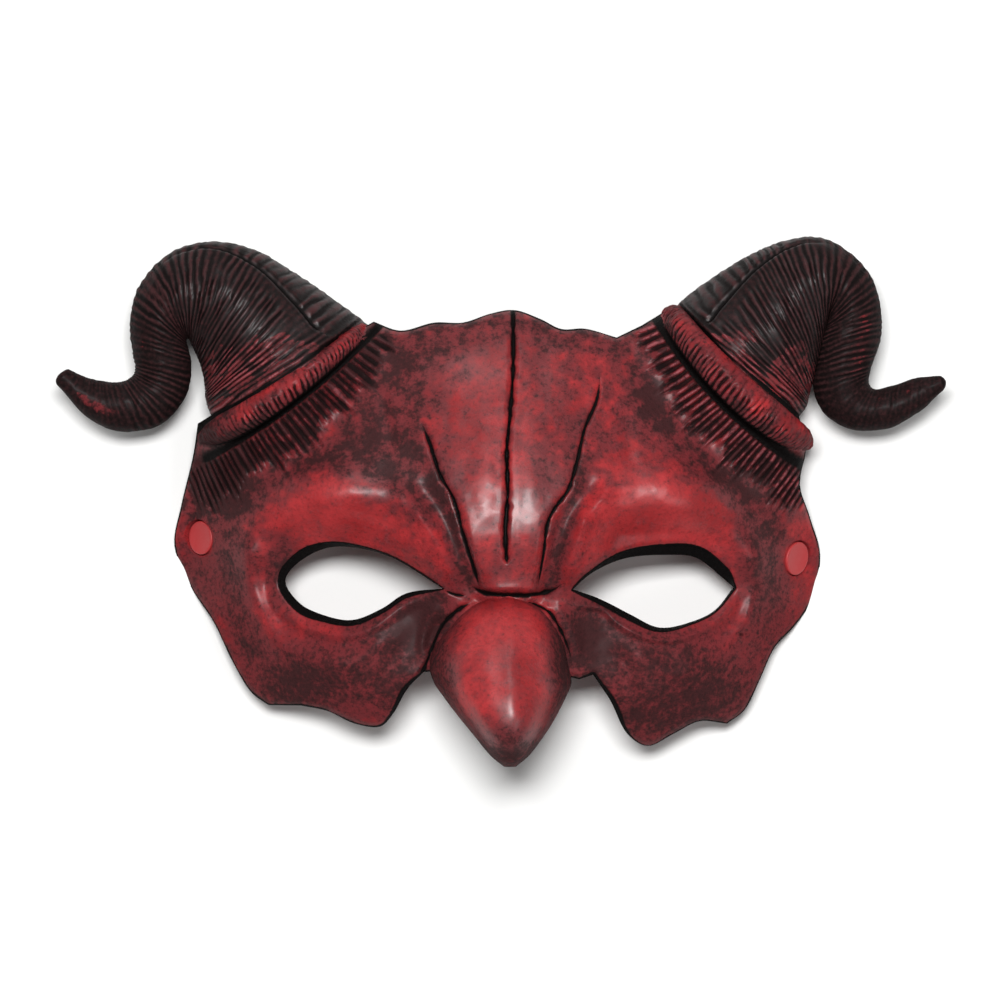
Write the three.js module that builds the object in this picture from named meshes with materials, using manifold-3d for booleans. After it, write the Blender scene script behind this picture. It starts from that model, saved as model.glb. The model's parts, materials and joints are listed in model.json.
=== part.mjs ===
// Devil half mask: a hollow latex casting of a half face with two curled horns, and a flat round
// stud at each temple that holds the strap. Millimetres. The mask lies on its open back, face up:
// X runs across the face, Y from the nose to the forehead and Z out of the face.
import * as THREE from 'three';
import { mergeVertices } from 'three/addons/utils/BufferGeometryUtils.js';
import Module from 'manifold-3d';

// Everything below this height is cut off flat: the temples and the roots of the horns rest there.
const restHeight = 2.5;

// Driving sizes of the face
const castThickness = 3;
const browFront = 41.5;
const faceRadius = 105;
const browLine = -5;
const foreheadRadius = 80;
const cheekLine = -20;
const cheekRadius = 75;
const faceHalfWidth = 88;
const faceBottom = -72;
const faceTop = 60;
const outerStep = 5;
const innerStep = 9;
const centreDensity = 0.8;

// Driving sizes of the nose
const noseTop = -25;
const noseTip = -69;
const noseRoundness = 0.85;

// Driving sizes of the carving
const wedgeHeight = 4.4;
const browHeight = 4.2;
const browWidth = 6.5;
const frownDepth = 2;
const frownWidth = 3.4;
const cheekArcHeight = 1.7;
const cheekArcWidth = 5;
const eyeHollowDepth = 4.5;
const noseSideDepth = 4;
const cheekBulge = 2.6;
const grooveRadius = 1.1;
const creaseRadius = 1;
const lidRadius = 1.7;
const lidStandOff = 1.9;

// Driving sizes of the horns' roots, each with a ring and a fringe of ribs
const rootFront = 35.5;
const rootDepth = 21;
const rootHalfWidth = 22.5;
const rootFlare = 0.75;
const rootFall = 0.45;
const ringStand = 2.8;
const ringTopHigh = 2.5;
const ringTopBow = 1.8;
const ringTopMiddle = 2;
const ringTopReach = 22;
const ringHalfSpan = 22.6;
const ringOverrun = 0.5;
const ribCount = 21;
const ribWidth = 2;
const ribHeight = 1.5;
const ribLength = 13.5;
const ribFanStart = -10;
const ribFanTurn = 34;
const ribStart = -27;
const ribSpan = 51.5;

// Driving sizes of the horns; the trunk runs up to section trunkEnd, and the curl from there
const hornRingSize = 0.35;
const hornRoundness = 0.94;
const hornSides = 10;
const trunkRings = 11;
const curlRings = 17;
const trunkEnd = 6;
const tuck = 0.86;

// Driving sizes of the studs
const studRadius = 4.4;
const studThickness = 1.1;
const studShankRadius = 1.8;
const studFlangeRadius = 3;
const studGap = 0.3;
const studSeatDepth = 1;
const studSides = 12;
const flangeThickness = 0.9;

const wasm = await Module();
wasm.setup();

// Small helpers for solids

function signedVolume(points, triangles) {
  let sum = 0;
  for (let i = 0; i < triangles.length; i += 3) {
    const [a, b, c] = [0, 1, 2].map((k) => new THREE.Vector3().fromArray(points, 3 * triangles[i + k]));
    sum += a.dot(b.cross(c));
  }
  return sum;
}

function toSolid(geometry) {
  geometry.deleteAttribute('normal');
  geometry.deleteAttribute('uv');
  const merged = mergeVertices(geometry, 1e-4);
  const points = new Float32Array(merged.attributes.position.array);
  const triangles = [];
  const index = merged.index.array;
  for (let i = 0; i < index.length; i += 3) {
    const [a, b, c] = [index[i], index[i + 1], index[i + 2]];
    if (a !== b && b !== c && c !== a) triangles.push(a, b, c);
  }
  if (signedVolume(points, triangles) < 0) triangles.reverse();
  return new wasm.Manifold(
    new wasm.Mesh({ numProp: 3, vertProperties: points, triVerts: new Uint32Array(triangles) }),
  );
}

function toGeometry(body) {
  const mesh = body.getMesh();
  const geometry = new THREE.BufferGeometry();
  geometry.setAttribute('position', new THREE.BufferAttribute(new Float32Array(mesh.vertProperties), 3));
  geometry.setIndex(new THREE.BufferAttribute(new Uint32Array(mesh.triVerts), 1));
  geometry.computeVertexNormals();
  return geometry;
}

// A rod whose rings are placed by place(t, angle): t runs from 0 to 1 along it.
function rodSolid(sides, rings, place) {
  const geometry = new THREE.CylinderGeometry(1, 1, 1, sides, rings);
  const position = geometry.attributes.position;
  for (let i = 0; i < position.count; i += 1) {
    const [x, y, z] = [position.getX(i), position.getY(i), position.getZ(i)];
    const onAxis = Math.hypot(x, z) < 0.5;
    const t = Math.round((y + 0.5) * rings) / rings;
    const angle = (Math.round((Math.atan2(x, z) / (2 * Math.PI)) * sides) / sides) * 2 * Math.PI;
    const [px, py, pz] = place(t, angle, onAxis ? 0 : 1);
    position.setXYZ(i, px, py, pz);
  }
  return toSolid(geometry);
}

// A round bar of a given radius along a curve.
function barSolid(curve, radius, sides, steps) {
  const circle = new THREE.EllipseCurve(0, 0, radius, radius).getPoints(sides);
  const section = new THREE.Shape(circle.slice(0, -1));
  return toSolid(new THREE.ExtrudeGeometry(section, { steps, extrudePath: curve, curveSegments: 1 }));
}

// A block whose top follows top(x, y); its columns crowd together towards the middle of the face.
function blockSolid(step, floor, top) {
  const height = faceTop - faceBottom;
  const columns = Math.round((2 * faceHalfWidth) / step);
  const rows = Math.round(height / step);
  const geometry = new THREE.BoxGeometry(2, height, 2, columns, rows, 1);
  const position = geometry.attributes.position;
  for (let i = 0; i < position.count; i += 1) {
    const s = position.getX(i);
    const x = faceHalfWidth * s * (centreDensity + (1 - centreDensity) * s * s);
    const y = position.getY(i) + (faceTop + faceBottom) / 2;
    position.setXYZ(i, x, y, position.getZ(i) > 0 ? top(x, y) : floor);
  }
  return toSolid(geometry);
}

// A straight-walled prism on an outline, from low to high.
function prismSolid(points, low, high) {
  const shape = new THREE.Shape(points);
  const geometry = new THREE.ExtrudeGeometry(shape, { depth: high - low, bevelEnabled: false });
  return toSolid(geometry.translate(0, 0, low));
}

// Small helpers for outlines and heights

// Points of an outline: a bend is passed smoothly, a corner ends one smooth stretch.
const bend = (x, y) => ({ x, y, corner: false });
const corner = (x, y) => ({ x, y, corner: true });

function smoothOutline(marks, perSpan) {
  const first = marks.findIndex((mark) => mark.corner);
  const ring = [...marks.slice(first), ...marks.slice(0, first), marks[first]];
  const points = [];
  let stretch = [];
  for (const mark of ring) {
    stretch.push(new THREE.Vector2(mark.x, mark.y));
    if (mark.corner && stretch.length > 1) {
      const spans = stretch.length === 2 ? 1 : (stretch.length - 1) * perSpan;
      points.push(...new THREE.SplineCurve(stretch).getPoints(spans).slice(0, -1));
      stretch = [stretch.at(-1)];
    }
  }
  return points;
}

// A soft round hill of height 1 about (cx, cy).
const bump = (x, y, cx, cy, rx, ry) => Math.exp(-(((x - cx) / rx) ** 2) - ((y - cy) / ry) ** 2);
const smoothStep = (a, b, v) => THREE.MathUtils.smoothstep(v, a, b);
const smoothMax = (a, b, k) => 0.5 * (a + b + Math.hypot(a - b, k));

// Value at v of a smooth curve through [place, value] pairs.
function profile(pairs, v) {
  const last = pairs.length - 1;
  if (v <= pairs[0][0]) return pairs[0][1];
  if (v >= pairs[last][0]) return pairs[last][1];
  const i = pairs.findIndex((pair) => pair[0] > v) - 1;
  const slope = (a, b) => (pairs[b][1] - pairs[a][1]) / (pairs[b][0] - pairs[a][0]);
  const span = pairs[i + 1][0] - pairs[i][0];
  const startSlope = i > 0 ? slope(i - 1, i + 1) : slope(i, i + 1);
  const endSlope = i + 1 < last ? slope(i, i + 2) : slope(i, i + 1);
  const t = (v - pairs[i][0]) / span;
  const [t2, t3] = [t * t, t * t * t];
  return (2 * t3 - 3 * t2 + 1) * pairs[i][1] + (t3 - 2 * t2 + t) * span * startSlope
    + (3 * t2 - 2 * t3) * pairs[i + 1][1] + (t3 - t2) * span * endSlope;
}

// A soft ridge, or a valley when its height is negative, along a line of points.
function ridge(x, y, line, height, width) {
  let nearest = Infinity;
  for (let i = 0; i + 1 < line.length; i += 1) {
    const [ax, ay] = line[i];
    const [bx, by] = line[i + 1];
    const [dx, dy] = [bx - ax, by - ay];
    const t = THREE.MathUtils.clamp(((x - ax) * dx + (y - ay) * dy) / (dx * dx + dy * dy), 0, 1);
    nearest = Math.min(nearest, Math.hypot(x - ax - t * dx, y - ay - t * dy));
  }
  return height * Math.exp(-((nearest / width) ** 2));
}

// Lines of the face

const foreheadGrooves = {
  centre: [[3.4, 50], [3.4, 34], [2.6, 22], [1.8, 14], [2, 2], [1.4, -8], [1.8, -17]],
  left: [[-21, 21.5], [-18, 14], [-15.6, 6.8], [-12, 0.2], [-9.6, -8.8], [-7, -17], [-5, -23.4]],
  right: [
    [26, 34], [25.4, 27], [21.8, 18], [20.2, 10.7], [17.6, 2.6], [12.8, -4.7], [11.2, -14.5], [9.6, -23.4],
  ],
};
const browLines = {
  left: [[-14, -17], [-18.2, -9], [-23.4, -1.5], [-32, 2], [-42, 2.4], [-52, 1], [-61, -4], [-66, -12]],
  right: [[19.8, -17], [20.3, -9], [25, -0.5], [35, 2.4], [45, 2.2], [54, 0], [62, -6], [66.5, -14]],
};
const frownValleys = {
  left: [[-20, 1], [-14.5, -6.5], [-11.6, -12.5], [-8.6, -19.5], [-6, -24.5]],
  right: [[23.5, 2.5], [18, -6], [14.8, -13], [12.6, -19.5], [10.8, -24.5]],
};
const cheekArcs = {
  left: [[-66, -15], [-64.2, -24.4], [-61.4, -31], [-58.2, -36.9], [-53, -40], [-44, -42]],
  right: [[67, -16], [67, -24.4], [64, -32], [58, -38.5], [50, -42]],
};

// Openings of the eyes, as seen from the front
const eyeOutlines = {
  left: [
    corner(-14.9, -23), bend(-20.4, -19.4), bend(-28, -15), bend(-36.2, -12.6), bend(-44.5, -12.4),
    bend(-51.5, -15.6), bend(-55.5, -21), bend(-51.5, -27.2), bend(-45.5, -30.1), bend(-38.4, -31.2),
    bend(-30.7, -28.2), bend(-24.5, -24.2),
  ],
  right: [
    corner(19, -23.2), bend(23.5, -19.2), bend(32, -15.3), bend(42.6, -14.3), bend(51, -15),
    bend(57.7, -20.1), corner(60.9, -22.8), bend(56, -28.8), bend(50, -31.7), bend(41.5, -33.2),
    bend(34, -29.8), bend(27, -26.1),
  ],
};

// Cut edge of the face, as seen from the front; the last stretch on each side lies under a horn.
const rimOutline = [
  corner(-33, 46.6), bend(-26, 44.2), bend(-17.2, 46.3), bend(-9.6, 46.3), bend(-2.6, 48.6), bend(3.6, 49.6),
  bend(10.4, 47.3), bend(16, 44.6), bend(22.1, 44.7), corner(30.4, 42.4), corner(37, 45.6), corner(45, 50.5),
  corner(80.6, 21), bend(80.4, 14), bend(78.4, 4), bend(81, -3.9), bend(84, -14.5), bend(82, -26),
  bend(77, -33.3), bend(72, -38.5), bend(68, -47), bend(64, -55), corner(59.4, -58.5), bend(52, -57.8),
  bend(45.2, -61.1), bend(38.5, -64.2), bend(33.3, -61.1), bend(28.6, -52), corner(24.2, -45.4),
  corner(20.6, -46.6), corner(10, -44), corner(-10, -44), corner(-19.8, -44.7), bend(-24, -49),
  bend(-28, -55.9), bend(-31.2, -59), bend(-38, -58.2), bend(-45, -55), corner(-52, -53.6),
  corner(-60.6, -53.6), bend(-65, -50.4), bend(-70, -42.3), bend(-75, -32), bend(-81, -23), bend(-85.4, -12), bend(-83.5, -1.3),
  bend(-80.3, 11.7), corner(-79, 20),
];

// Half width, middle, front and lower edge of the nose at each height of the face
const noseHalfWidths = [
  [-69, 1.6], [-66.3, 4.9], [-61, 9.2], [-55.9, 12.9], [-50.7, 16.2], [-47.5, 17.9], [-43, 18.2], [-38, 17],
  [-33.5, 14.4], [-28.4, 10.4], [-25, 4],
];
const noseMiddles = [[-69, 2.6], [-60, 2.3], [-54, 1.6], [-48, 0.8], [-42, -0.3], [-33, 0.8], [-25, 1.2]];
const noseFronts = [
  [-69, 48], [-67.5, 53.5], [-64, 58.5], [-59, 61.2], [-53, 61.2], [-46, 58.8], [-38, 53.5], [-31, 47.5],
  [-27.5, 43.5], [-25, 39.5],
];
const noseEdges = [[-69, 44], [-64, 39.5], [-56, 33.5], [-48, 29.5], [-44, 28.5], [-36, 30], [-25, 33]];

// Roots of the horns: centre, direction down the face and direction towards the forehead's middle
const hornRoots = {
  left: {
    x: -57.2, y: 34.1, down: [0.552, -0.834], along: [0.834, 0.552], ringLow: 9.5, bow: 2.8, bowAt: -11,
  },
  right: {
    x: 65.3, y: 34.8, down: [-0.679, -0.734], along: [-0.734, 0.679], ringLow: 11.8, bow: 4, bowAt: -5,
  },
};

// Heights of the face

// Bulge of the face under the root of a horn
function rootArch(x, y, root) {
  const [dx, dy] = [x - root.x, y - root.y];
  const u = dx * root.down[0] + dy * root.down[1];
  const v = dx * root.along[0] + dy * root.along[1];
  const half = rootHalfWidth + rootFlare * Math.max(u, 0);
  const side = Math.min(Math.abs(v) / half, 1);
  return rootFront - rootFall * Math.max(u, 0) - rootDepth * (1 - Math.sqrt(1 - side * side));
}

// Raised wedge between the two outer frown grooves, highest above the nose
function frownWedge(x, y) {
  const place = (line) => profile(line.map(([px, py]) => [py, px]).reverse(), y);
  const left = place(foreheadGrooves.left);
  const right = place(foreheadGrooves.right);
  const t = (2 * x - left - right) / (right - left);
  const across = Math.exp(-(Math.max(Math.abs(t) - 0.75, 0) ** 2) * 6);
  const lift = wedgeHeight * (1 - smoothStep(-14, 34, y)) * smoothStep(-27, -22.5, y);
  return lift * across;
}

function faceHeight(x, y) {
  const across = Math.min(Math.abs(x), faceRadius - 12);
  let z = browFront - faceRadius + Math.sqrt(faceRadius ** 2 - across ** 2);
  z -= foreheadRadius - Math.sqrt(foreheadRadius ** 2 - Math.max(y - browLine, 0) ** 2);
  z -= cheekRadius - Math.sqrt(cheekRadius ** 2 - Math.max(cheekLine - y, 0) ** 2);
  for (const side of ['left', 'right']) z = smoothMax(z, rootArch(x, y, hornRoots[side]), 3);
  z += frownWedge(x, y);
  for (const side of ['left', 'right']) {
    z += ridge(x, y, browLines[side], browHeight, browWidth);
    z -= ridge(x, y, frownValleys[side], frownDepth, frownWidth);
    z += ridge(x, y, cheekArcs[side], cheekArcHeight, cheekArcWidth);
  }
  z -= eyeHollowDepth * (bump(x, y, -36, -21, 24, 11) + bump(x, y, 40, -22, 24, 11));
  z -= noseSideDepth * (bump(x, y, -19, -34, 9, 13) + bump(x, y, 24, -35, 9, 13));
  z += cheekBulge * (bump(x, y, -42, -50, 17, 10) + bump(x, y, 46, -52, 17, 10));
  return z;
}

// Inside of the casting: the outside worn away by a ball as thick as the wall.
function insideHeight(x, y) {
  let low = faceHeight(x, y) - castThickness;
  for (const reach of [0.5, 0.8, 1]) {
    for (let i = 0; i < 10; i += 1) {
      const angle = (i / 10) * 2 * Math.PI;
      const r = reach * castThickness;
      const z = faceHeight(x + r * Math.cos(angle), y + r * Math.sin(angle));
      low = Math.min(low, z - Math.sqrt(castThickness ** 2 - r ** 2));
    }
  }
  return low;
}

const onFace = (x, y, lift) => new THREE.Vector3(x, y, faceHeight(x, y) + lift);

// The nose: arches across it, one below the other, from the brow down to the drooping tip.
// shrink draws the arches inwards for the hollow, which stays open towards the wearer.
function noseSolid(shrink) {
  return rodSolid(16, 12, (t, angle, spread) => {
    const y = noseTop - shrink + (noseTip - noseTop + 2.2 * shrink) * t;
    const place = noseTop + (noseTip - noseTop) * t;
    const half = Math.max(profile(noseHalfWidths, place) - shrink, 0.6) * spread;
    const edge = profile(noseEdges, place) - (shrink > 0 ? 30 : 0);
    const rise = Math.max(profile(noseFronts, place) - shrink - edge, 1) * spread;
    const round = (value) => Math.sign(value) * Math.abs(value) ** noseRoundness;
    const middle = profile(noseMiddles, place);
    return [middle + half * round(Math.cos(angle)), y, edge + rise * Math.max(round(Math.sin(angle)), 0)];
  });
}

// The face with its carving

function rootPoint(root, u, v) {
  return [root.x + u * root.down[0] + v * root.along[0], root.y + u * root.down[1] + v * root.along[1]];
}

// Lower edge of the ring, measured down the face from the root's centre, at a place along the ring
const ringEdge = (root, v) => root.ringLow - root.bow * ((v - root.bowAt) / 29) ** 2;

// Its upper edge, which bows the same way
const ringTop = (v) => ringTopHigh - ringTopBow * ((v - ringTopMiddle) / ringTopReach) ** 2;

// A rounded band that wraps the root of a horn from one side over the front to the other.
function ringSolid(root) {
  return rodSolid(8, 14, (t, angle, spread) => {
    const sweep = (Math.PI + 2 * ringOverrun) * t - ringOverrun;
    const stand = spread * ringStand * Math.sin(angle);
    const v = (ringHalfSpan + stand) * Math.cos(sweep);
    const half = (ringEdge(root, v) - ringTop(v)) / 2;
    const [x, y] = rootPoint(root, ringTop(v) + half * (1 + spread * Math.cos(angle)), v);
    return [x, y, rootFront - rootDepth + (rootDepth + stand) * Math.sin(sweep)];
  });
}

// The fringe below the ring: ribs that fan out down the face.
function ribSolids(root) {
  const ribs = [];
  for (let i = 0; i < ribCount; i += 1) {
    const share = i / (ribCount - 1);
    const v = ribStart + ribSpan * share;
    const length = ribLength * (1 - 0.45 * share ** 4);
    const turn = THREE.MathUtils.degToRad(ribFanStart + ribFanTurn * share);
    const start = rootPoint(root, ringEdge(root, v) + 0.6, v);
    const end = rootPoint(root, ringEdge(root, v) + length * Math.cos(turn), v + length * Math.sin(turn));
    const [a, b] = [onFace(...start, 0.2), onFace(...end, 0)];
    const rib = new THREE.OctahedronGeometry(1).scale(ribWidth / 2, a.distanceTo(b) / 2, ribHeight);
    const frame = new THREE.Matrix4();
    const along = b.clone().sub(a).normalize();
    const across = along.clone().cross(new THREE.Vector3(0, 0, 1)).normalize();
    frame.makeBasis(across, along, across.clone().cross(along));
    rib.applyMatrix4(frame.setPosition(onFace((a.x + b.x) / 2, (a.y + b.y) / 2, 0.1)));
    ribs.push(toSolid(rib));
  }
  return ribs;
}

// The raised rim of an eye opening, just outside its outline.
function lidSolid(marks) {
  const centre = new THREE.Vector2();
  const outline = smoothOutline(marks, 1.5);
  outline.forEach((point) => centre.addScaledVector(point, 1 / outline.length));
  const path = outline.map((point) => {
    const out = point.clone().sub(centre).normalize().multiplyScalar(lidStandOff);
    return onFace(point.x + out.x, point.y + out.y, -0.3);
  });
  const curve = new THREE.CatmullRomCurve3(path, true);
  return barSolid(curve, lidRadius, 5, 15);
}

// What is cut away for a groove of the forehead; it runs out at its lower end.
function grooveSolid(line) {
  const path = line.map(([x, y]) => onFace(x, y, 0.1));
  path[path.length - 1].z += 1.2 * grooveRadius;
  return barSolid(new THREE.CatmullRomCurve3(path), grooveRadius, 4, 7);
}

// Crease where the nose starts, round its upper edge
function noseCrease() {
  const path = [];
  for (let i = 0; i <= 16; i += 1) {
    const swing = (i / 16) * 2 - 1;
    const y = noseTop - 0.4 - 14.5 * swing * swing;
    const half = (profile(noseHalfWidths, y) + 0.4) * Math.min(Math.abs(swing) * 4, 1);
    path.push(onFace(1.4 + Math.sign(swing) * half, y, 0.2));
  }
  return barSolid(new THREE.CatmullRomCurve3(path), creaseRadius, 4, 12);
}

// The horns

// Sections of a horn from root to tip: far edge, near edge and height of the middle.
const hornSections = {
  left: [
    [-32.1, 44.3, -73.4, 17.8, 14], [-40, 50, -76.4, 24, 14.5], [-52, 58.5, -77.2, 29.9, 16],
    [-62.4, 64.5, -78.8, 36.9, 18], [-74.1, 67.6, -80.6, 40.6, 19.5], [-85.3, 65, -81.3, 42, 20],
    [-93.9, 56.2, -81.7, 41.6, 19.5],
    [-96.5, 46.3, -81.3, 39.3, 18.5], [-95.9, 38.5, -80.7, 34.6, 17.5], [-95.4, 33.5, -82.2, 26.8, 16.5],
    [-97.2, 31.6, -88.5, 19.6, 16.5], [-102, 30.8, -99, 17.8, 17.5], [-107, 31.6, -108, 21.8, 19],
    [-112.4, 33.9, -115.2, 29.6, 21],
  ],
  right: [
    [44.4, 48.6, 75.9, 19.2, 14], [47.8, 52.3, 80.2, 24.2, 14.5], [57.5, 59.5, 80.9, 27.3, 16],
    [66, 64.5, 82.2, 32.5, 18], [75.1, 67.8, 83.7, 39, 19.5], [83.7, 68.4, 85, 44.8, 20],
    [91, 64.7, 85.8, 48.6, 19.5],
    [97, 58, 84.8, 46, 18.5], [99.6, 48.9, 82.8, 42.6, 17.5], [99.1, 41.1, 81.9, 36.4, 16.5],
    [97.2, 34.8, 81.8, 29.8, 16], [96.4, 30.6, 84.5, 22.9, 16], [97.6, 29.2, 91.5, 18.4, 16.5],
    [102.5, 30.1, 100.8, 18.6, 17.5], [108.5, 32, 108.8, 22.6, 19], [114.6, 32.3, 115.4, 28.4, 21],
  ],
};

// Point of a horn's skin at a section and an angle; reach draws it in towards the middle.
function hornPoint(sections, place, angle, reach) {
  const fars = sections.map((row) => new THREE.Vector3(row[0], row[1], row[4]));
  const nears = sections.map((row) => new THREE.Vector3(row[2], row[3], row[4]));
  const t = place / (sections.length - 1);
  const far = new THREE.CatmullRomCurve3(fars).getPoint(t);
  const near = new THREE.CatmullRomCurve3(nears).getPoint(t);
  const middle = far.clone().add(near).multiplyScalar(0.5);
  const half = far.clone().sub(middle).multiplyScalar(reach);
  const depth = half.length() * hornRoundness * Math.sin(angle);
  return middle.addScaledVector(half, Math.cos(angle)).add(new THREE.Vector3(0, 0, depth));
}

// A stretch of horn between two sections, with shallow rings. The end that lies inside its
// neighbour is tucked in, and so is the tip.
function hornSolid(sections, from, to, rings) {
  return rodSolid(hornSides, rings, (t, angle, spread) => {
    const place = from + (to - from) * t;
    const swell = Math.round(t * rings) % 2 ? hornRingSize : -hornRingSize;
    const tucked = (t === 0 && from > 0) || (t === 1);
    const middle = hornPoint(sections, place, 0, 0);
    const point = hornPoint(sections, place, angle, spread * (tucked ? tuck : 1));
    if (spread === 0) return point.toArray();
    const out = point.clone().sub(middle).normalize();
    return point.addScaledVector(out, tucked ? 0 : swell).toArray();
  });
}

// The seam that runs up the face of a horn beside its outer edge.
function seamSolid(sections) {
  const path = [];
  for (let i = 0; i <= 8; i += 1) path.push(hornPoint(sections, 1.15 + 0.4 * i, 0.92 - 0.06 * i, 1.01));
  return barSolid(new THREE.CatmullRomCurve3(path), grooveRadius, 4, 7);
}

// The studs

// Frame with Z along the outward normal of the face at a temple.
function studFrame(x, y) {
  const reach = studRadius;
  const [west, east] = [onFace(x - reach, y, 0), onFace(x + reach, y, 0)];
  const [south, north] = [onFace(x, y - reach, 0), onFace(x, y + reach, 0)];
  const across = east.clone().sub(west).normalize();
  const normal = across.clone().cross(north.clone().sub(south)).normalize();
  const middle = west.add(east).add(south).add(north).multiplyScalar(0.25);
  return new THREE.Matrix4().makeBasis(across, normal.clone().cross(across), normal).setPosition(middle);
}

// Turned form about Z from [radius, height] pairs.
function turnedGeometry(pairs) {
  const profilePoints = pairs.map(([r, h]) => new THREE.Vector2(r, h));
  return new THREE.LatheGeometry(profilePoints, studSides).rotateX(Math.PI / 2);
}

const studBase = studGap - studSeatDepth;
const flangeTop = -castThickness - 0.9;
const flangeBottom = flangeTop - flangeThickness;

// A stud: flat head outside, shank through the wall and flange inside.
function studGeometry() {
  const top = studBase + studThickness;
  return turnedGeometry([
    [0, flangeBottom], [studFlangeRadius, flangeBottom], [studFlangeRadius, flangeTop],
    [studShankRadius, flangeTop], [studShankRadius, studBase], [studRadius, studBase],
    [studRadius, top - 0.25], [studRadius - 0.25, top], [0, top],
  ]);
}

// What is cut away for a stud, with a gap all round it.
function studSeat() {
  const bore = studShankRadius + studGap;
  return turnedGeometry([
    [0, -12], [bore, -12], [bore, -studSeatDepth], [studRadius + studGap, -studSeatDepth],
    [studRadius + studGap, 4], [0, 4],
  ]);
}

const studPlaces = { left: [-78.3, -9.9], right: [77.7, -15.3] };

// Putting the casting together

// Where the hollow of the face ends behind the horns: past this outline the horns are solid.
function hollowOutline() {
  const { left, right } = hornRoots;
  const wall = 4.5;
  const far = 120;
  return [
    [-far, -far], [far, -far], rootPoint(right, wall, -far), rootPoint(right, wall, 26),
    rootPoint(left, wall, 26), rootPoint(left, wall, -far),
  ].map(([x, y]) => new THREE.Vector2(x, y));
}

// The whole casting, cut off flat where it rests.
function maskSolid() {
  const inside = blockSolid(innerStep, -20, insideHeight);
  const hollow = inside.intersect(prismSolid(hollowOutline(), -30, 90));
  let body = blockSolid(outerStep, -6, faceHeight).subtract(inside);
  body = body.intersect(prismSolid(smoothOutline(rimOutline, 2), -10, 90));
  body = body.add(noseSolid(0).subtract(hollow));
  for (const side of ['left', 'right']) {
    const sections = hornSections[side];
    let horn = hornSolid(sections, 0, trunkEnd, trunkRings);
    horn = horn.add(hornSolid(sections, trunkEnd - 0.6, sections.length - 1, curlRings));
    horn = horn.subtract(seamSolid(sections)).add(ringSolid(hornRoots[side]));
    body = body.add(horn.subtract(hollow));
    for (const rib of ribSolids(hornRoots[side])) body = body.add(rib);
    body = body.add(lidSolid(eyeOutlines[side]));
  }
  body = body.subtract(noseSolid(castThickness));
  for (const line of Object.values(foreheadGrooves)) body = body.subtract(grooveSolid(line));
  body = body.subtract(noseCrease());
  for (const side of ['left', 'right']) {
    body = body.subtract(prismSolid(smoothOutline(eyeOutlines[side], 2), -10, 90));
    body = body.subtract(toSolid(studSeat().applyMatrix4(studFrame(...studPlaces[side]))));
  }
  const above = toSolid(new THREE.BoxGeometry(400, 400, 200).translate(0, 0, restHeight + 100));
  return body.intersect(above);
}

const latexRed = new THREE.MeshStandardMaterial({ color: 0x8e2a2c, roughness: 0.42, metalness: 0 });
const studRed = new THREE.MeshStandardMaterial({ color: 0xab383b, roughness: 0.6, metalness: 0 });

const devilHalfMask = new THREE.Group();
devilHalfMask.position.z = -restHeight;

const mask = new THREE.Mesh(toGeometry(maskSolid()), latexRed);
mask.name = 'mask';
devilHalfMask.add(mask);

for (const side of ['left', 'right']) {
  const stud = new THREE.Mesh(studGeometry(), studRed);
  stud.name = `strap_stud_${side}`;
  studFrame(...studPlaces[side]).decompose(stud.position, stud.quaternion, stud.scale);
  devilHalfMask.add(stud);
}

export default devilHalfMask;
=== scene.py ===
# Devil half mask: a red latex half face with two curled horns, cast in one piece. It lies on its
# open back with the face up, so the camera looks straight down on it.
import bpy
import json
import math
import numpy as np
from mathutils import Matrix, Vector

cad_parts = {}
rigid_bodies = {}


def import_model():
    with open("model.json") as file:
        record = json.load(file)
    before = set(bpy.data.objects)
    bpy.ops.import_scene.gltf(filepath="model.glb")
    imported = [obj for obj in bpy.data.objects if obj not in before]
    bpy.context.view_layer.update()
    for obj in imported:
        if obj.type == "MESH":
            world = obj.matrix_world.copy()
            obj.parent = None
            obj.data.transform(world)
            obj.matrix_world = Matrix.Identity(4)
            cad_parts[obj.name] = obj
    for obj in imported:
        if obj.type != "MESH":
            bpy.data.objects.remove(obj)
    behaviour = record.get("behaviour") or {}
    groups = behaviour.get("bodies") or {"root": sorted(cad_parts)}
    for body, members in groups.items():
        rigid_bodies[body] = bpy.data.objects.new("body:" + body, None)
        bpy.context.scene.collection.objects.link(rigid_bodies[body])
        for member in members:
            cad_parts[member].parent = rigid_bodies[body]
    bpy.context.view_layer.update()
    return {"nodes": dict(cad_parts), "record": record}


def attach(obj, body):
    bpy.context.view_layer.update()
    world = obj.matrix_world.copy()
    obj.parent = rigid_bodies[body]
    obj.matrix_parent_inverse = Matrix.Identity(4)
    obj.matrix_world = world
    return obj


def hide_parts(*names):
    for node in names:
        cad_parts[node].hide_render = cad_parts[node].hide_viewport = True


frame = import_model()
record = frame["record"]

mm = 0.001    # the shapes are worked out in millimetres
restHeight = 2.5    # they are cut off flat at this height, which becomes the floor
latticeSize = 128    # random heights each way before they repeat
sides = ("left", "right")

# Curves and heights

def smoothStep(a, b, v):    # 3t² - 2t³, with t the share of the way from a to b
    t = np.clip((v - a) / (b - a), 0, 1)
    return t * t * (3 - 2 * t)

def smoothMax(a, b, k):    # half of a + b + the root of (a - b)² + k²: the larger one, rounded over
    return 0.5 * (a + b + np.hypot(a - b, k))

def hill(x, y, cx, cy, rx, ry):    # exp of minus the squared distance, counted in radii
    return np.exp(-((x - cx) / rx) ** 2 - ((y - cy) / ry) ** 2)

def bell(distance, width):    # exp(-(distance / width)²)
    return np.exp(-(distance / width) ** 2)

def waveOf(count):    # 1 at each whole count and 0 between, by the cosine
    return 0.5 + 0.5 * np.cos(math.tau * count)

def hills(x, y, rows):    # the sum of several: [x, y, half width, half height, amount]
    return sum(amount * hill(x, y, *place) for *place, amount in rows)

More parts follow.
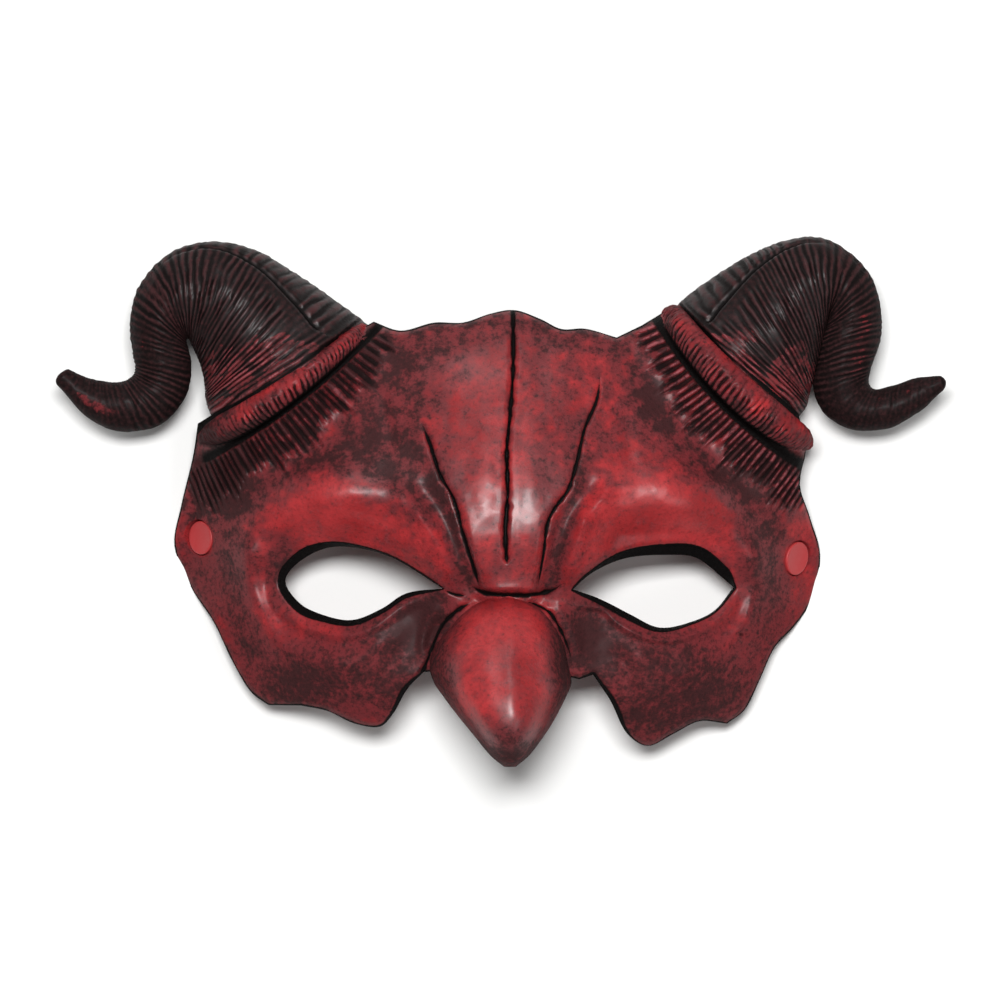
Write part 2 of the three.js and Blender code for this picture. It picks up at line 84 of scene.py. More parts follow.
# Centripetal Catmull-Rom curve: a cubic between neighbours, timed by the root of their distance
def through(rows, t):
    rows = np.asarray(rows, float)
    rows = np.vstack([2 * rows[0] - rows[1], rows, 2 * rows[-1] - rows[-2]])
    knot = np.maximum(np.sqrt(np.linalg.norm(np.diff(rows, axis=0), axis=1)), 1e-6)
    i = np.clip(np.floor(t).astype(int), 0, len(rows) - 4)
    s = (t - i)[..., None]
    a, b, c, d = rows[i], rows[i + 1], rows[i + 2], rows[i + 3]
    ka, kb, kc = knot[i][..., None], knot[i + 1][..., None], knot[i + 2][..., None]
    leave = kb * ((b - a) / ka - (c - a) / (ka + kb) + (c - b) / kb)
    arrive = kb * ((c - b) / kb - (d - b) / (kb + kc) + (d - c) / kc)
    curve = b + leave * s + (3 * (c - b) - 2 * leave - arrive) * s ** 2
    return curve + (2 * (b - c) + leave + arrive) * s ** 3

def profile(pairs, v):    # cubic spans through [place, value] pairs, sloping as their neighbours do
    place, value = np.array(pairs, float).T
    slope = np.gradient(value, place)
    slope[1:-1] = (value[2:] - value[:-2]) / (place[2:] - place[:-2])
    v = np.clip(v, place[0], place[-1])
    i = np.clip(np.searchsorted(place, v, side="right") - 1, 0, len(place) - 2)
    span = place[i + 1] - place[i]
    t = (v - place[i]) / span
    return ((2 * t ** 3 - 3 * t ** 2 + 1) * value[i] + (t ** 3 - 2 * t ** 2 + t) * span * slope[i]
            + (3 * t ** 2 - 2 * t ** 3) * value[i + 1] + (t ** 3 - t ** 2) * span * slope[i + 1])

def grain(u, v, seed):    # lattice of random heights from -1 to 1, blended by 3t² - 2t³ both ways
    table = np.random.default_rng(seed).uniform(-1, 1, (latticeSize, latticeSize))
    i, j = np.floor(u).astype(int), np.floor(v).astype(int)
    s, t = u - i, v - j
    s, t = s * s * (3 - 2 * s), t * t * (3 - 2 * t)
    at = lambda p, q: table[(i + p) % latticeSize, (j + q) % latticeSize]
    return (at(0, 0) * (1 - s) + at(1, 0) * s) * (1 - t) + (at(0, 1) * (1 - s) + at(1, 1) * s) * t

def alongLine(x, y, line, reach):    # distance to a smooth line and share of the way along it
    line = np.asarray(line, float)
    points = through(line, np.linspace(0, len(line) - 1, 5 * len(line)))
    low, high = points.min(0) - reach, points.max(0) + reach
    near = (x > low[0]) & (x < high[0]) & (y > low[1]) & (y < high[1])
    px, py = x[near], y[near]
    best, share = np.full(px.shape, 3.0 * reach), np.zeros(px.shape)
    step = np.diff(points, axis=0)
    length = np.linalg.norm(step, axis=1)
    done = np.concatenate([[0], np.cumsum(length)])
    for a, d, size, start in zip(points, step, length, done):
        t = np.clip(((px - a[0]) * d[0] + (py - a[1]) * d[1]) / (size * size), 0, 1)
        away = np.hypot(px - a[0] - t * d[0], py - a[1] - t * d[1])
        share = np.where(away < best, (start + t * size) / done[-1], share)
        best = np.minimum(away, best)
    distance, place = np.full(x.shape, 3.0 * reach), np.zeros(x.shape)
    distance[near], place[near] = best, share
    return distance, place

def fade(share, start, end):    # rises over the first stretch of a line and falls over the last
    rise = smoothStep(0, start, share) if start > 0 else 1.0
    fall = smoothStep(0, end, 1 - share) if end > 0 else 1.0
    return rise * fall

def ridge(x, y, line, height, width, start=0, end=0):    # a bell across the line, faded at its ends
    distance, share = alongLine(x, y, line, 3 * width)
    return height * bell(distance, width) * fade(share, start, end)

# The lines of the face, in millimetres from the middle of the mask

foreheadGrooves = {
    "centre": [[3.4, 50], [3.4, 34], [2.6, 22], [1.8, 14], [2, 2], [1.4, -8], [1.8, -17]],
    "left": [[-21, 21.5], [-18, 14], [-15.6, 6.8], [-12, 0.2], [-9.6, -8.8], [-7, -17], [-5, -23.4]],
    "right": [[26, 34], [25.4, 27], [21.8, 18], [20.2, 10.7], [17.6, 2.6], [12.8, -4.7], [11.2, -14.5],
              [9.6, -23.4]],
}
browLines = {
    "left": [[-14, -17], [-18.2, -9], [-23.4, -1.5], [-32, 2], [-42, 2.4], [-52, 1], [-61, -4], [-66, -12]],
    "right": [[19.8, -17], [20.3, -9], [25, -0.5], [35, 2.4], [45, 2.2], [54, 0], [62, -6], [66.5, -14]],
}
frownValleys = {
    "left": [[-20, 1], [-14.5, -6.5], [-11.6, -12.5], [-8.6, -19.5], [-6, -24.5]],
    "right": [[23.5, 2.5], [18, -6], [14.8, -13], [12.6, -19.5], [10.8, -24.5]],
}
cheekArcs = {
    "left": [[-66, -15], [-64.2, -24.4], [-61.4, -31], [-58.2, -36.9], [-53, -40], [-44, -42]],
    "right": [[67, -16], [67, -24.4], [64, -32], [58, -38.5], [50, -42]],
}

# Finer lines: [line, height, width, share faded in, share faded out]
foldLines = [
    [[[-28.5, 3.6], [-22.6, -1.3], [-15.9, -10.1], [-11.7, -19.5], [-7, -25]], 1.0, 4.2, 0.25, 0.3],
    [[[-53, -9.6], [-45.5, -6.4], [-39, -5.7], [-32.2, -7.5], [-26.3, -10.7], [-21.6, -14],
      [-17.2, -19]], 0.8, 2.8, 0.25, 0.2],
    [[[-55, -7.4], [-46, -3.4], [-37.7, -2.3], [-30.2, -3.9], [-24.2, -6.8], [-18.7, -11.5]],
      -0.6, 2.8, 0.2, 0.2],
    [[[-60.8, -20], [-57.8, -27.6], [-51.5, -32.2], [-44.5, -34.8], [-38, -34.9], [-31.8, -32.4],
      [-24.2, -27.2], [-16.4, -25.4]], 0.9, 1.4, 0.2, 0.15],
    [[[-64.5, -9], [-66, -17], [-64.2, -25], [-61.2, -31], [-57.8, -37], [-52, -40.2]], 0.7, 2.4, 0.2, 0.3],
    [[[-61.5, -13], [-61.2, -21], [-58.6, -29.5], [-52.5, -35.2], [-44, -38], [-35, -37]],
      -1.1, 2.6, 0.2, 0.3],
    [[[29.5, 3.2], [22.8, -3.4], [20.6, -9.9], [17.8, -17], [15.3, -24]], 1.0, 4.0, 0.25, 0.3],
    [[[27, -11.5], [33, -9.4], [41, -8.7], [49.7, -9], [56, -11], [61, -15.5]], -0.6, 2.4, 0.15, 0.3],
    [[[26, -13.5], [33, -11.2], [42, -10.3], [51, -11], [57, -14], [61, -18.5]], 0.4, 2.0, 0.2, 0.3],
    [[[17.5, -27.2], [26.5, -28.3], [30.5, -31.9], [36.9, -35.3], [43.9, -36.6], [50.2, -35],
      [56.2, -31.7], [61, -26.8], [63, -21]], 0.9, 0.9, 0.1, 0.2],
    [[[66.6, -22], [64.5, -31], [60, -37]], 0.6, 1.6, 0.3, 0.3],
    [[[63.6, -22], [61, -31.5], [54.5, -37.5], [46, -40]], -0.9, 2, 0.3, 0.3],
    [[[-15.2, -26], [-18.4, -31], [-20.2, -37], [-20.6, -42]], 0.8, 1.4, 0.2, 0.3],
    [[[-14, -29.5], [-17.4, -34.5], [-19, -40]], -0.8, 1, 0.2, 0.2],
    [[[13.6, -26], [17, -30.5], [19.6, -36], [20.6, -42]], 0.7, 1.4, 0.2, 0.3],
    [[[-24, -36], [-29, -43], [-34, -52]], -0.6, 2.2, 0.3, 0.3],
    [[[-28, -33], [-35, -40], [-44, -46]], 0.5, 2, 0.3, 0.3],
    [[[29, -37], [33, -44], [36, -54]], -0.6, 2.2, 0.3, 0.3],
    [[[33, -38], [42, -44], [53, -46]], 0.45, 2.4, 0.3, 0.3],
    [[[-31, 30], [-29, 20], [-27, 12]], -0.5, 1.8, 0.3, 0.3],
    [[[34, 24], [33, 14], [36, 7]], -0.4, 2, 0.3, 0.3],
]
# Creases painted black: [line, depth, half width, share faded in, share faded out]
creaseLines = [
    [foreheadGrooves["centre"], 1.3, 0.66, 0, 0.03],
    [foreheadGrooves["left"], 1.0, 0.56, 0.15, 0.1],
    [foreheadGrooves["right"], 0.9, 0.52, 0.15, 0.1],
    [[[-8, -21.8], [-4.6, -23.9], [1.6, -24.7], [9.6, -24.4], [13.5, -23.4], [17.4, -20.9]],
      1.2, 0.7, 0.15, 0.25],
    [[[-20.6, -46], [-18.6, -41], [-17, -36.8], [-14.9, -32.4], [-11.2, -28.7], [-7, -26.4]],
      1.0, 0.55, 0, 0.15],
    [[[6, -26.2], [9.7, -27.3], [13.2, -29.6], [16.3, -35], [18.2, -40], [19.4, -46]],
      0.9, 0.45, 0.15, 0.5],
    [[[-14.8, -23.3], [-11.4, -24.6], [-8.4, -24.9]], 0.6, 0.5, 0.3, 0.3],
]

# Smooth stretches between corners: a mark is [x, y], and ends in "corner" at one
def outline(marks, perSpan):
    first = next(i for i, mark in enumerate(marks) if mark[-1] == "corner")
    ring = marks[first:] + marks[:first + 1]
    points, stretch = [], []
    for mark in ring:
        stretch.append([float(v) for v in mark if v != "corner"])
        if mark[-1] == "corner" and len(stretch) > 1:
            steps = perSpan * (len(stretch) - 1)
            points.append(through(stretch, np.arange(steps) / perSpan))
            stretch = [stretch[-1]]
    return np.vstack(points)

# Openings of the eyes: x, y and how far the opening's wall leans out towards the face
eyeMarks = {
    "left": [[-14.9, -23, 0, "corner"], [-20.4, -19.4, 0.2], [-28, -15, 0.2], [-36.2, -12.6, 0.5],
             [-44.5, -12.4, 1.3], [-51.5, -15.6, 2.2], [-55.5, -21, 2.2], [-51.5, -27.2, 2.1],
             [-45.5, -30.1, 1.4], [-38.4, -31.2, 1.2], [-30.7, -28.2, 0.9], [-24.5, -24.2, 1]],
    "right": [[19, -23.2, 0.3, "corner"], [23.5, -19.2, 0.5], [32, -15.3, 1.7], [42.6, -14.3, 2.6],
              [51, -15, 2.8], [57.7, -20.1, 2.6], [60.9, -22.8, 0.5, "corner"], [56, -28.8, 0.3],
              [50, -31.7, 0.4], [41.5, -33.2, 0.9], [34, -29.8, 1.3], [27, -26.1, 1.2]],
}
rimMarks = [
    [-33, 46.6, "corner"], [-26, 44.2], [-17.2, 46.3], [-9.6, 46.3], [-2.6, 48.6], [3.6, 49.6],
    [10.4, 47.3], [16, 44.6], [22.1, 44.7], [30.4, 42.4, "corner"], [37, 45.6, "corner"],
    [45, 50.5, "corner"], [77.6, 22.6, "corner"], [79.9, 14], [78.4, 4], [81, -3.9], [84, -14.5],
    [82, -26], [77, -33.3], [72, -38.5], [68, -47], [64, -55], [59.4, -58.5, "corner"], [52, -57.8],
    [45.2, -61.1], [38.5, -64.2], [33.3, -61.1], [28.6, -52], [24.2, -45.4, "corner"],
    [20.6, -46.6, "corner"], [10, -44, "corner"], [-10, -44, "corner"], [-19.8, -44.7, "corner"],
    [-24, -49], [-28, -55.9], [-31.2, -59], [-38, -58.2], [-45, -55], [-52, -53.6, "corner"],
    [-60.6, -53.6, "corner"], [-65, -50.4], [-70, -42.3], [-75, -32], [-81, -23], [-85.4, -12],
    [-83.5, -1.3], [-80.3, 11.7], [-79, 20, "corner"],
]

# Roots of the horns: middle, direction down the face and direction towards the middle of the forehead
hornRoots = {
    "left": dict(middle=(-57.2, 34.1), down=(0.552, -0.834), along=(0.834, 0.552),
                 ringLow=9.5, bow=2.8, bowAt=-11),
    "right": dict(middle=(65.3, 34.8), down=(-0.679, -0.734), along=(-0.734, 0.679),
                  ringLow=11.8, bow=4, bowAt=-5),
}
face = dict(wall=3, browFront=41.5, radius=105, browLine=-5, foreheadRadius=80, cheekLine=-20,
            cheekRadius=75, rootFront=35.5, rootDepth=21, rootHalfWidth=22.5, rootFlare=0.75,
            rootFall=0.45, rootRound=0.9, wedgeHeight=4.4, browHeight=4.2, browWidth=6.5,
            frownDepth=2, frownWidth=3.4, cheekArcHeight=1.7, cheekArcWidth=5, soot=0.33, sheen=0.4,
            rimRounding=1.5, eyeRounding=1, left=-88, right=88, bottom=-72, top=60, step=0.28, innerStep=2.2)
fringe = dict(dense=43, sparser=9, start=-33, span=57.5, length=13.5, fanStart=-12, fanTurn=36, height=1.35,
              channel=dict(left=0.9, right=1.3), crestHighlight=dict(left=0.65, right=1.15),
              soot=dict(left=0.75, right=0.3))

# Hills and hollows of the face: [x, y, half width, half height, height]
mainHills = [
    [-36, -21, 24, 11, -4.5], [40, -22, 24, 11, -4.5], [-19, -34, 9, 13, -4], [24, -35, 9, 13, -4],
    [-42, -50, 17, 10, 2.6], [46, -52, 17, 10, 2.6],
]
fineHills = [    # pads of the frown, outer halves of the brows, and knobs beside the frown
    [-3.6, 2, 4.6, 13, 0.9], [8.4, 1, 4.8, 12, 0.9], [-46, 0.5, 13, 12, 4.6], [48, 0.5, 13, 12, 4.6],
    [26.5, 0.5, 3, 2, 0.8], [21.2, -5, 2, 3.2, 0.8], [-20.5, -4, 2.4, 3, 0.8],
]

ring = dict(stand=2.8, middle=dict(left=-1.55, right=0.15), halfSpan=dict(left=23.45, right=23.35),
            overrun=0.5, top=2.5, topBow=1.8, topMiddle=2, topReach=22, lowReach=29,
            spacing=1.6, rib=0.85, soot=0.45, sheen=0.18, rows=460, columns=56)

def rootPlace(x, y, root):    # place in a root's own directions: down the face, and along its ring
    dx, dy = x - root["middle"][0], y - root["middle"][1]
    return dx * root["down"][0] + dy * root["down"][1], dx * root["along"][0] + dy * root["along"][1]

def ringEdge(v, root):    # lower edge of the ring: a parabola about the place where it bows most
    return root["ringLow"] - root["bow"] * ((v - root["bowAt"]) / ring["lowReach"]) ** 2

def ringTop(v):    # and its upper edge, which bows the same way
    return ring["top"] - ring["topBow"] * ((v - ring["topMiddle"]) / ring["topReach"]) ** 2

# Half ellipse across the root, running on straight near its foot and falling down the face
def rootArch(x, y, root):
    u, v = rootPlace(x, y, root)
    down = np.maximum(u, 0)
    side = np.abs(v) / (face["rootHalfWidth"] + face["rootFlare"] * down)
    curved, end = np.minimum(side, face["rootRound"]), face["rootRound"]
    drop = 1 - np.sqrt(1 - curved ** 2) + (side - curved) * end / math.sqrt(1 - end ** 2)
    drop = -smoothMax(-drop, -1.0, 0.12)
    return face["rootFront"] - face["rootFall"] * down - face["rootDepth"] * drop

def frownWedge(x, y):    # raised wedge between the outer grooves, highest above the nose
    left, right = (profile([[v, u] for u, v in foreheadGrooves[side][::-1]], y) for side in sides)
    t = (2 * x - left - right) / (right - left)
    across = np.exp(-(np.maximum(np.abs(t) - 0.75, 0) ** 2) * 6)
    return face["wedgeHeight"] * (1 - smoothStep(-14, 34, y)) * smoothStep(-27, -22.5, y) * across

# A barrel across, rounded off above the brow and below the eyes, plus the main forms
def faceHeight(x, y):
    across = np.minimum(np.abs(x), face["radius"] - 12)
    z = face["browFront"] - face["radius"] + np.sqrt(face["radius"] ** 2 - across ** 2)
    above, below = np.maximum(y - face["browLine"], 0), np.maximum(face["cheekLine"] - y, 0)
    for radius, past in ((face["foreheadRadius"], above), (face["cheekRadius"], below)):
        z -= radius - np.sqrt(radius ** 2 - past ** 2)
    for side in sides:
        z = smoothMax(z, rootArch(x, y, hornRoots[side]), 3)
    z += frownWedge(x, y)
    for side in sides:
        z += ridge(x, y, browLines[side], face["browHeight"], face["browWidth"])
        z -= ridge(x, y, frownValleys[side], face["frownDepth"], face["frownWidth"])
        z += ridge(x, y, cheekArcs[side], face["cheekArcHeight"], face["cheekArcWidth"])
    return z + hills(x, y, mainHills)

def insideHeight(x, y):    # the outside worn away by a ball as thick as the wall
    wall = face["wall"]
    low = faceHeight(x, y) - wall
    for r in np.array([0.5, 0.8, 1]) * wall:
        for angle in np.arange(10) / 10 * math.tau:
            z = faceHeight(x + r * math.cos(angle), y + r * math.sin(angle))
            low = np.minimum(low, z - math.sqrt(max(wall ** 2 - r ** 2, 0)))
    return low

# Strands side by side below the ring, by the cosine of their count, fanned out
def fringeRelief(x, y, side, seed):
    root, channel = hornRoots[side], fringe["channel"][side]
    u, v = rootPlace(x, y, root)
    below = u - ringEdge(v, root)
    start = v.copy()
    for _ in range(4):    # where the strand through a point starts on the ring
        share = np.clip((start - fringe["start"]) / fringe["span"], -0.1, 1.1)
        start = v - below * np.tan(np.radians(fringe["fanStart"] + fringe["fanTurn"] * share))
    share = (start - fringe["start"]) / fringe["span"]
    rough = lambda a, b, n: grain(start / a, below / b, seed + n)
    wobble = 0.3 * rough(3.2, 30, 0) + 0.12 * rough(1.2, 5, 1)
    count = fringe["dense"] * share - fringe["sparser"] * share ** 2 + wobble
    length = fringe["length"] * (1 - 0.45 * np.clip(share, 0, 1) ** 4)
    length = length * (1 + 0.3 * grain(start / 2, share * 0, seed + 2))
    reached = np.clip(below / length, 0, 1)
    crest = waveOf(count) ** (1.1 + 1.2 * reached)    # thinner towards the end
    inside = smoothStep(0.6 * channel, 0.6 * channel + 1.6, below)
    inside *= 1 - smoothStep(0.55 * length, length, below)
    inside *= smoothStep(-0.08, 0.0, share) * (1 - smoothStep(1.0, 1.05, share))
    uneven = 0.85 + 0.35 * rough(1.5, 4, 3)
    ends = smoothStep(34, 29, np.abs(v))
    middle = 0.7 * channel    # of the dark channel between ring and fringe
    gap = bell(below - middle, 1.3 * channel) * ends
    height = inside * uneven * (fringe["height"] * crest - 0.55) - 1.6 * channel ** 0.5 * gap
    # painted highlight: pinker crests on the strands, stronger on the right
    tint = fringe["crestHighlight"][side] * (1 + 0.6 * rough(1.7, 4, 4))
    paint = inside * np.where(crest > 0.5, tint, 1) * (2 * crest - 0.9)
    line = np.where(below < middle, 0.3, 1) * np.abs(below - middle) / channel + 3 * (1 - ends)
    return height, paint, line, inside

def alongClosed(x, y, points, reach):    # as alongLine, on the straight steps of a closed outline
    best = np.full(x.shape, float(reach))
    for a, b in zip(points, np.roll(points, -1, axis=0)):
        low, high = np.minimum(a, b) - reach, np.maximum(a, b) + reach
        near = (x > low[0]) & (x < high[0]) & (y > low[1]) & (y < high[1])
        d = b - a
        px, py = x[near] - a[0], y[near] - a[1]
        t = np.clip((px * d[0] + py * d[1]) / max(d @ d, 1e-9), 0, 1)
        best[near] = np.minimum(best[near], np.hypot(px - t * d[0], py - t * d[1]))
    return best

# Where the black wash lies thickest, and where shade is painted on the cheeks, temples, lower face and beside
# the nose: hills [x, y, half width, half height, amount]
sootHills = [
    [-58, -17.5, 4, 6, 0.45], [-27, 8, 11, 9, 0.55], [-19.5, 1, 6, 7, 0.45], [-34, 12, 9, 7, 0.35],
    [-74, -1, 8, 9, 0.5], [-19.5, 38, 11, 9, 0.5], [-5, 46, 13, 5, 0.45], [18, 44, 12, 6, 0.45],
    [-26, 24, 8, 10, 0.45], [-40, -46, 24, 10, 0.5], [-18, -33, 8, 9, 0.75], [-27, -34, 9, 6, 0.6],
    [-54, -49, 12, 8, 0.55], [-56, -19, 3.4, 8, 0.5], [16, 31, 9, 10, 0.2], [22, 13, 6, 9, 0.3],
    [12.5, 5, 5, 8, 0.3], [68, -6, 7, 14, 0.5], [70, -27, 6, 15, 0.5], [23, -35, 8, 11, 0.95],
    [40, -41, 17, 9, 0.6], [57, -49, 14, 9, 0.5], [47, -56, 15, 8, 0.5], [34, -58, 8, 8, 0.45],
    [62, 5, 15, 7, 0.25], [39, 20, 7, 10, 0.15], [-80, -20, 6, 16, 0.4], [-27, -50, 7, 9, 0.35],
    [-79, 8, 7, 11, 0.45], [-70, 10, 8, 7, 0.3], [74, 12, 8, 5, 0.3], [-33, 38, 7, 8, 0.5],
    [40, 26, 7, 7, 0.35], [35, 40, 8, 6, 0.35],
]
# and along lines: [line, half width, amount]
sootLines = [
    [[[-74, -4], [-62, 3], [-50, 9], [-36, 18], [-28, 28]], 4.5, 0.55],
    [[[-67.6, -5], [-69.6, -15.6], [-69, -26], [-66, -36.4], [-61.9, -45]], 4, 0.55],
    [[[-19.5, 9], [-15.6, 1], [-12, -8.8], [-9.4, -17.5], [-6.6, -25.5]], 2.3, 0.7],
    [[[23.9, 10], [19.4, 1], [16.6, -8.8], [14, -18.2], [12.5, -26]], 2, 0.7],
    [[[34, 38], [40, 25], [48, 15], [58, 7.5], [72, 2]], 5, 0.5],
    [[[-14, -24], [-20, -27.6], [-27, -31]], 2.4, 0.5],
]

# Where the paint shines: hills like the others
sheenHills = [[-38, 3, 17, 9, 0.7], [42, 2, 17, 9, 0.7], [2, 3, 13, 15, 0.7], [-7, 34, 10, 5, 0.42]]
frownSides = [[[-27, 4], [-20, -6], [-12, -18]], [[27, 4], [21, -6], [14.5, -18]]]    # but dull here
browPaint = [[-40, -3, 20, 9, 1], [44, -3, 22, 10, 1]]    # less wash above the eyes, so the brows show lighter
thickEdges = [[-25, -51, 6, 7, 1.6], [28, -54, 6, 9, 1.6]]    # black edges beside the nose
cheekPit = [62.9, -35.1, 1.3, 1]
noSeam = 9.0    # a crease value far from every line

# Carves z in place: exp(-(distance / width)²) deep, in an uneven stroke with raised lips
def cutCreases(x, y, z):
    crease = np.full(x.shape, noSeam)
    for line, depth, width, start, end in creaseLines:
        distance, share = alongLine(x, y, line, 5)
        deep = fade(share, start, end)
        wide = width * (0.55 + 0.45 * deep) * (1 + 0.5 * grain(x / 1.7, y / 1.7, 18))
        z -= depth * bell(distance, wide) * deep
        z += 0.08 * depth * bell(distance - 2.6 * width, 1.3 * width) * deep
        crease = np.minimum(crease, distance / wide + 0.9 * (1 - deep))
    pit = hill(x, y, *cheekPit)
    z -= 0.7 * pit
    return np.minimum(crease, 2.2 - 1.6 * pit)

def faceSurface(x, y):    # the face with its fine carving, and the paint on it
    z = faceHeight(x, y) + hills(x, y, fineHills)
    for line, height, width, start, end in foldLines:
        z += ridge(x, y, line, height, width, start, end)
    z -= 1.9 * smoothStep(-8, -23, y) * smoothStep(-33, -24, y) * np.exp(-((x - 2) / 10) ** 4)
    for side in sides:
        z -= ridge(x, y, browLines[side], 1.3, 4.2, 0.55, 0.35)    # broad, flat crests on the brows
    for size, height, seed in ((9, 0.3, 11), (3.6, 0.1, 12), (1.5, 0.05, 13)):
        z += height * grain(x / size, y / size, seed)
    crease = cutCreases(x, y, z)
    # painted shade on the lower forehead, where it turns down towards the nose crease; less wash over the
    # brows
    soot = face["soot"] - 0.29 * np.clip(hills(x, y, browPaint), 0, 1) + 0.12 * hill(x, y, 3, -18, 8, 7)
    sheen = face["sheen"] + hills(x, y, sheenHills) - 0.22 * smoothStep(-24, -34, y)
    sheen -= 0.2 * smoothStep(58, 80, np.abs(x)) * smoothStep(0, -10, y)
    for line in frownSides:
        sheen *= 1 - ridge(x, y, line, 0.8, 5)
    crest = np.zeros(x.shape)
    for side, seed in (("left", 30), ("right", 40)):
        relief, strandCrest, channel, strands = fringeRelief(x, y, side, seed)
        z += relief
        crest += strandCrest
        soot += fringe["soot"][side] * strands
        sheen *= 1 - 0.75 * strands
        u, v = rootPlace(x, y, hornRoots[side])
        above = np.abs(u - 0.8) / 2.2 + 3 * (1 - smoothStep(31, 27, np.abs(v)))    # dark above the ring
        crease = np.minimum(crease, np.minimum(above, channel + 0.15))
    soot += hills(x, y, sootHills)
    for line, width, amount in sootLines:
        soot += ridge(x, y, line, amount, width, 0.15, 0.15)
    dabs = grain(x / 2.3, y / 2.3, 14) + 0.6 * grain(x / 1.15, y / 1.15, 15)    # above the eyes
    soot *= 1 + smoothStep(-24, -8, y) * (0.7 * smoothStep(-0.8, 0.9, dabs) - 0.3)
    edge = alongClosed(x, y, rimPoints, 6)
    z -= 1.5 * np.clip(1 - edge / face["rimRounding"], 0, 1) ** 2
    cut = 1 - edge / (0.5 + 0.25 * grain(x / 4, y / 4, 17) + hills(x, y, thickEdges))
    for side in sides:
        eye = alongClosed(x, y, eyeOuter[side], 4)
        z -= 0.7 * np.clip(1 - eye / face["eyeRounding"], 0, 1) ** 2
        cut = np.maximum(cut, 1 - eye / 0.45)
    return z, dict(soot=soot, crease=crease, crest=crest, sheen=np.clip(sheen, 0.05, 1),
                   cutEdge=np.clip(cut, 0, 1))

# Solids: numpy points and triangles, with the paint as attributes

# the dark paint value carries the black wash and also painted shade on the shaded parts
paints = dict(soot=0.1, crease=noSeam, crest=0, hornPaint=0, sheen=0.1, cutEdge=0, inner=0, known=1)

def placed(name, data):
    made = bpy.data.objects.new(name, data)
    bpy.context.scene.collection.objects.link(made)
    return made

def applied(piece):    # its mesh with the modifiers worked in
    mesh = bpy.data.meshes.new_from_object(piece.evaluated_get(bpy.context.evaluated_depsgraph_get()))
    piece.modifiers.clear()
    return mesh

def solid(name, points, triangles, **paint):
    points = (np.asarray(points, float).reshape(-1, 3) - [0, 0, restHeight]) * mm
    triangles = np.asarray(triangles, np.int32)
    mesh = bpy.data.meshes.new(name)
    mesh.vertices.add(len(points))
    mesh.vertices.foreach_set("co", points.astype(np.float32).ravel())
    mesh.loops.add(triangles.size)
    mesh.loops.foreach_set("vertex_index", triangles.ravel())
    mesh.polygons.add(len(triangles))
    mesh.polygons.foreach_set("loop_start", np.arange(0, triangles.size, 3, dtype=np.int32))
    mesh.update(calc_edges=True)
    mesh.validate()
    for key, plain in paints.items():
        values = np.broadcast_to(np.asarray(paint.get(key, plain), np.float32), (len(points),))
        mesh.attributes.new(key, "FLOAT", "POINT").data.foreach_set("value", np.ascontiguousarray(values))
    return placed(name, mesh)

def quadsToTriangles(a, b, c, d):
    return np.concatenate([np.stack([a, b, c], -1).reshape(-1, 3), np.stack([a, c, d], -1).reshape(-1, 3)])

# A surface over a grid, closed by walls and a floor
def heightBlock(name, step, surface, floor, **paint):
    spans = (face["left"], face["right"]), (face["bottom"], face["top"])
    x, y = np.meshgrid(*(np.linspace(a, b, round((b - a) / step) + 1) for a, b in spans), indexing="ij")
    z, marks = surface(x, y)
    ids = np.arange(x.size).reshape(x.shape)
    top = quadsToTriangles(ids[:-1, :-1], ids[1:, :-1], ids[1:, 1:], ids[:-1, 1:])
    loop = np.concatenate([ids[:-1, 0], ids[-1, :-1], ids[:0:-1, -1], ids[0, :0:-1]])
    low = x.size + np.arange(len(loop))
    walls = quadsToTriangles(low, np.roll(low, -1), np.roll(loop, -1), loop)
    middle = x.size + len(loop)
    base = np.stack([np.full(len(loop), middle), np.roll(low, -1), low], -1)
    points = np.stack([x, y, z], -1).reshape(-1, 3)
    rim = points[loop] * [1, 1, 0] + [0, 0, floor]
    points = np.vstack([points, rim, [[0, 0, floor]]])
    for key, value in marks.items():
        paint[key] = np.concatenate([value.ravel(), np.full(len(loop) + 1, value[-1, -1])])
    return solid(name, points, np.concatenate([top, walls, base]), **paint)

def tube(name, rings, **paint):    # rings of points, one behind the other, closed by a fan at each end
    rows, columns = rings.shape[:2]
    ids = np.arange(rows * columns).reshape(rows, columns)
    after = np.roll(ids, -1, axis=1)
    skin = quadsToTriangles(ids[:-1], after[:-1], after[1:], ids[1:])
    first = np.full(columns, rows * columns)
    caps = [np.stack([first, after[0], ids[0]], -1), np.stack([first + 1, ids[-1], after[-1]], -1)]
    points = np.vstack([rings.reshape(-1, 3), rings[0].mean(0), rings[-1].mean(0)])
    triangles = np.concatenate([skin] + caps)
    a, b, c = (points[triangles[:, k]] for k in range(3))
    if (a * np.cross(b, c)).sum() < 0:    # the volume's sign says which way the faces point
        triangles = triangles[:, ::-1]
    for key, value in paint.items():
        value = np.broadcast_to(value, (rows, columns)).ravel()
        paint[key] = np.concatenate([value, value[[0, -1]]])
    return solid(name, points, triangles, **paint)

def prism(name, points, low, high, **paint):    # an outline between two heights
    flat = np.asarray(points, float)
    rings = np.stack([np.column_stack([flat, np.full(len(flat), z)]) for z in (low, high)])
    return tube(name, rings, **paint)

def combined(name, base, *steps):    # joins, cuts and overlaps, one after the other
    for operation, other in steps:
        step = base.modifiers.new(operation, "BOOLEAN")
        step.operation, step.object, step.solver = operation, other, "MANIFOLD"
    result = applied(base)
    result.name = name
    return placed(name, result)

def eyeOutlines(marks):    # the opening, and the wider one that its wall leans out to along the normal
    inner = outline([m[:2] + m[3:] for m in marks], 6)
    lean = outline([[m[2], 0] + m[3:] for m in marks], 6)[:, :1]
    along = np.roll(inner, -1, axis=0) - np.roll(inner, 1, axis=0)
    normal = along[:, ::-1] * [1, -1]
    normal /= np.maximum(np.linalg.norm(normal, axis=1, keepdims=True), 1e-9)
    normal *= np.sign(((inner - inner.mean(0)) * normal).sum())
    return inner, inner + normal * np.maximum(lean, 0)

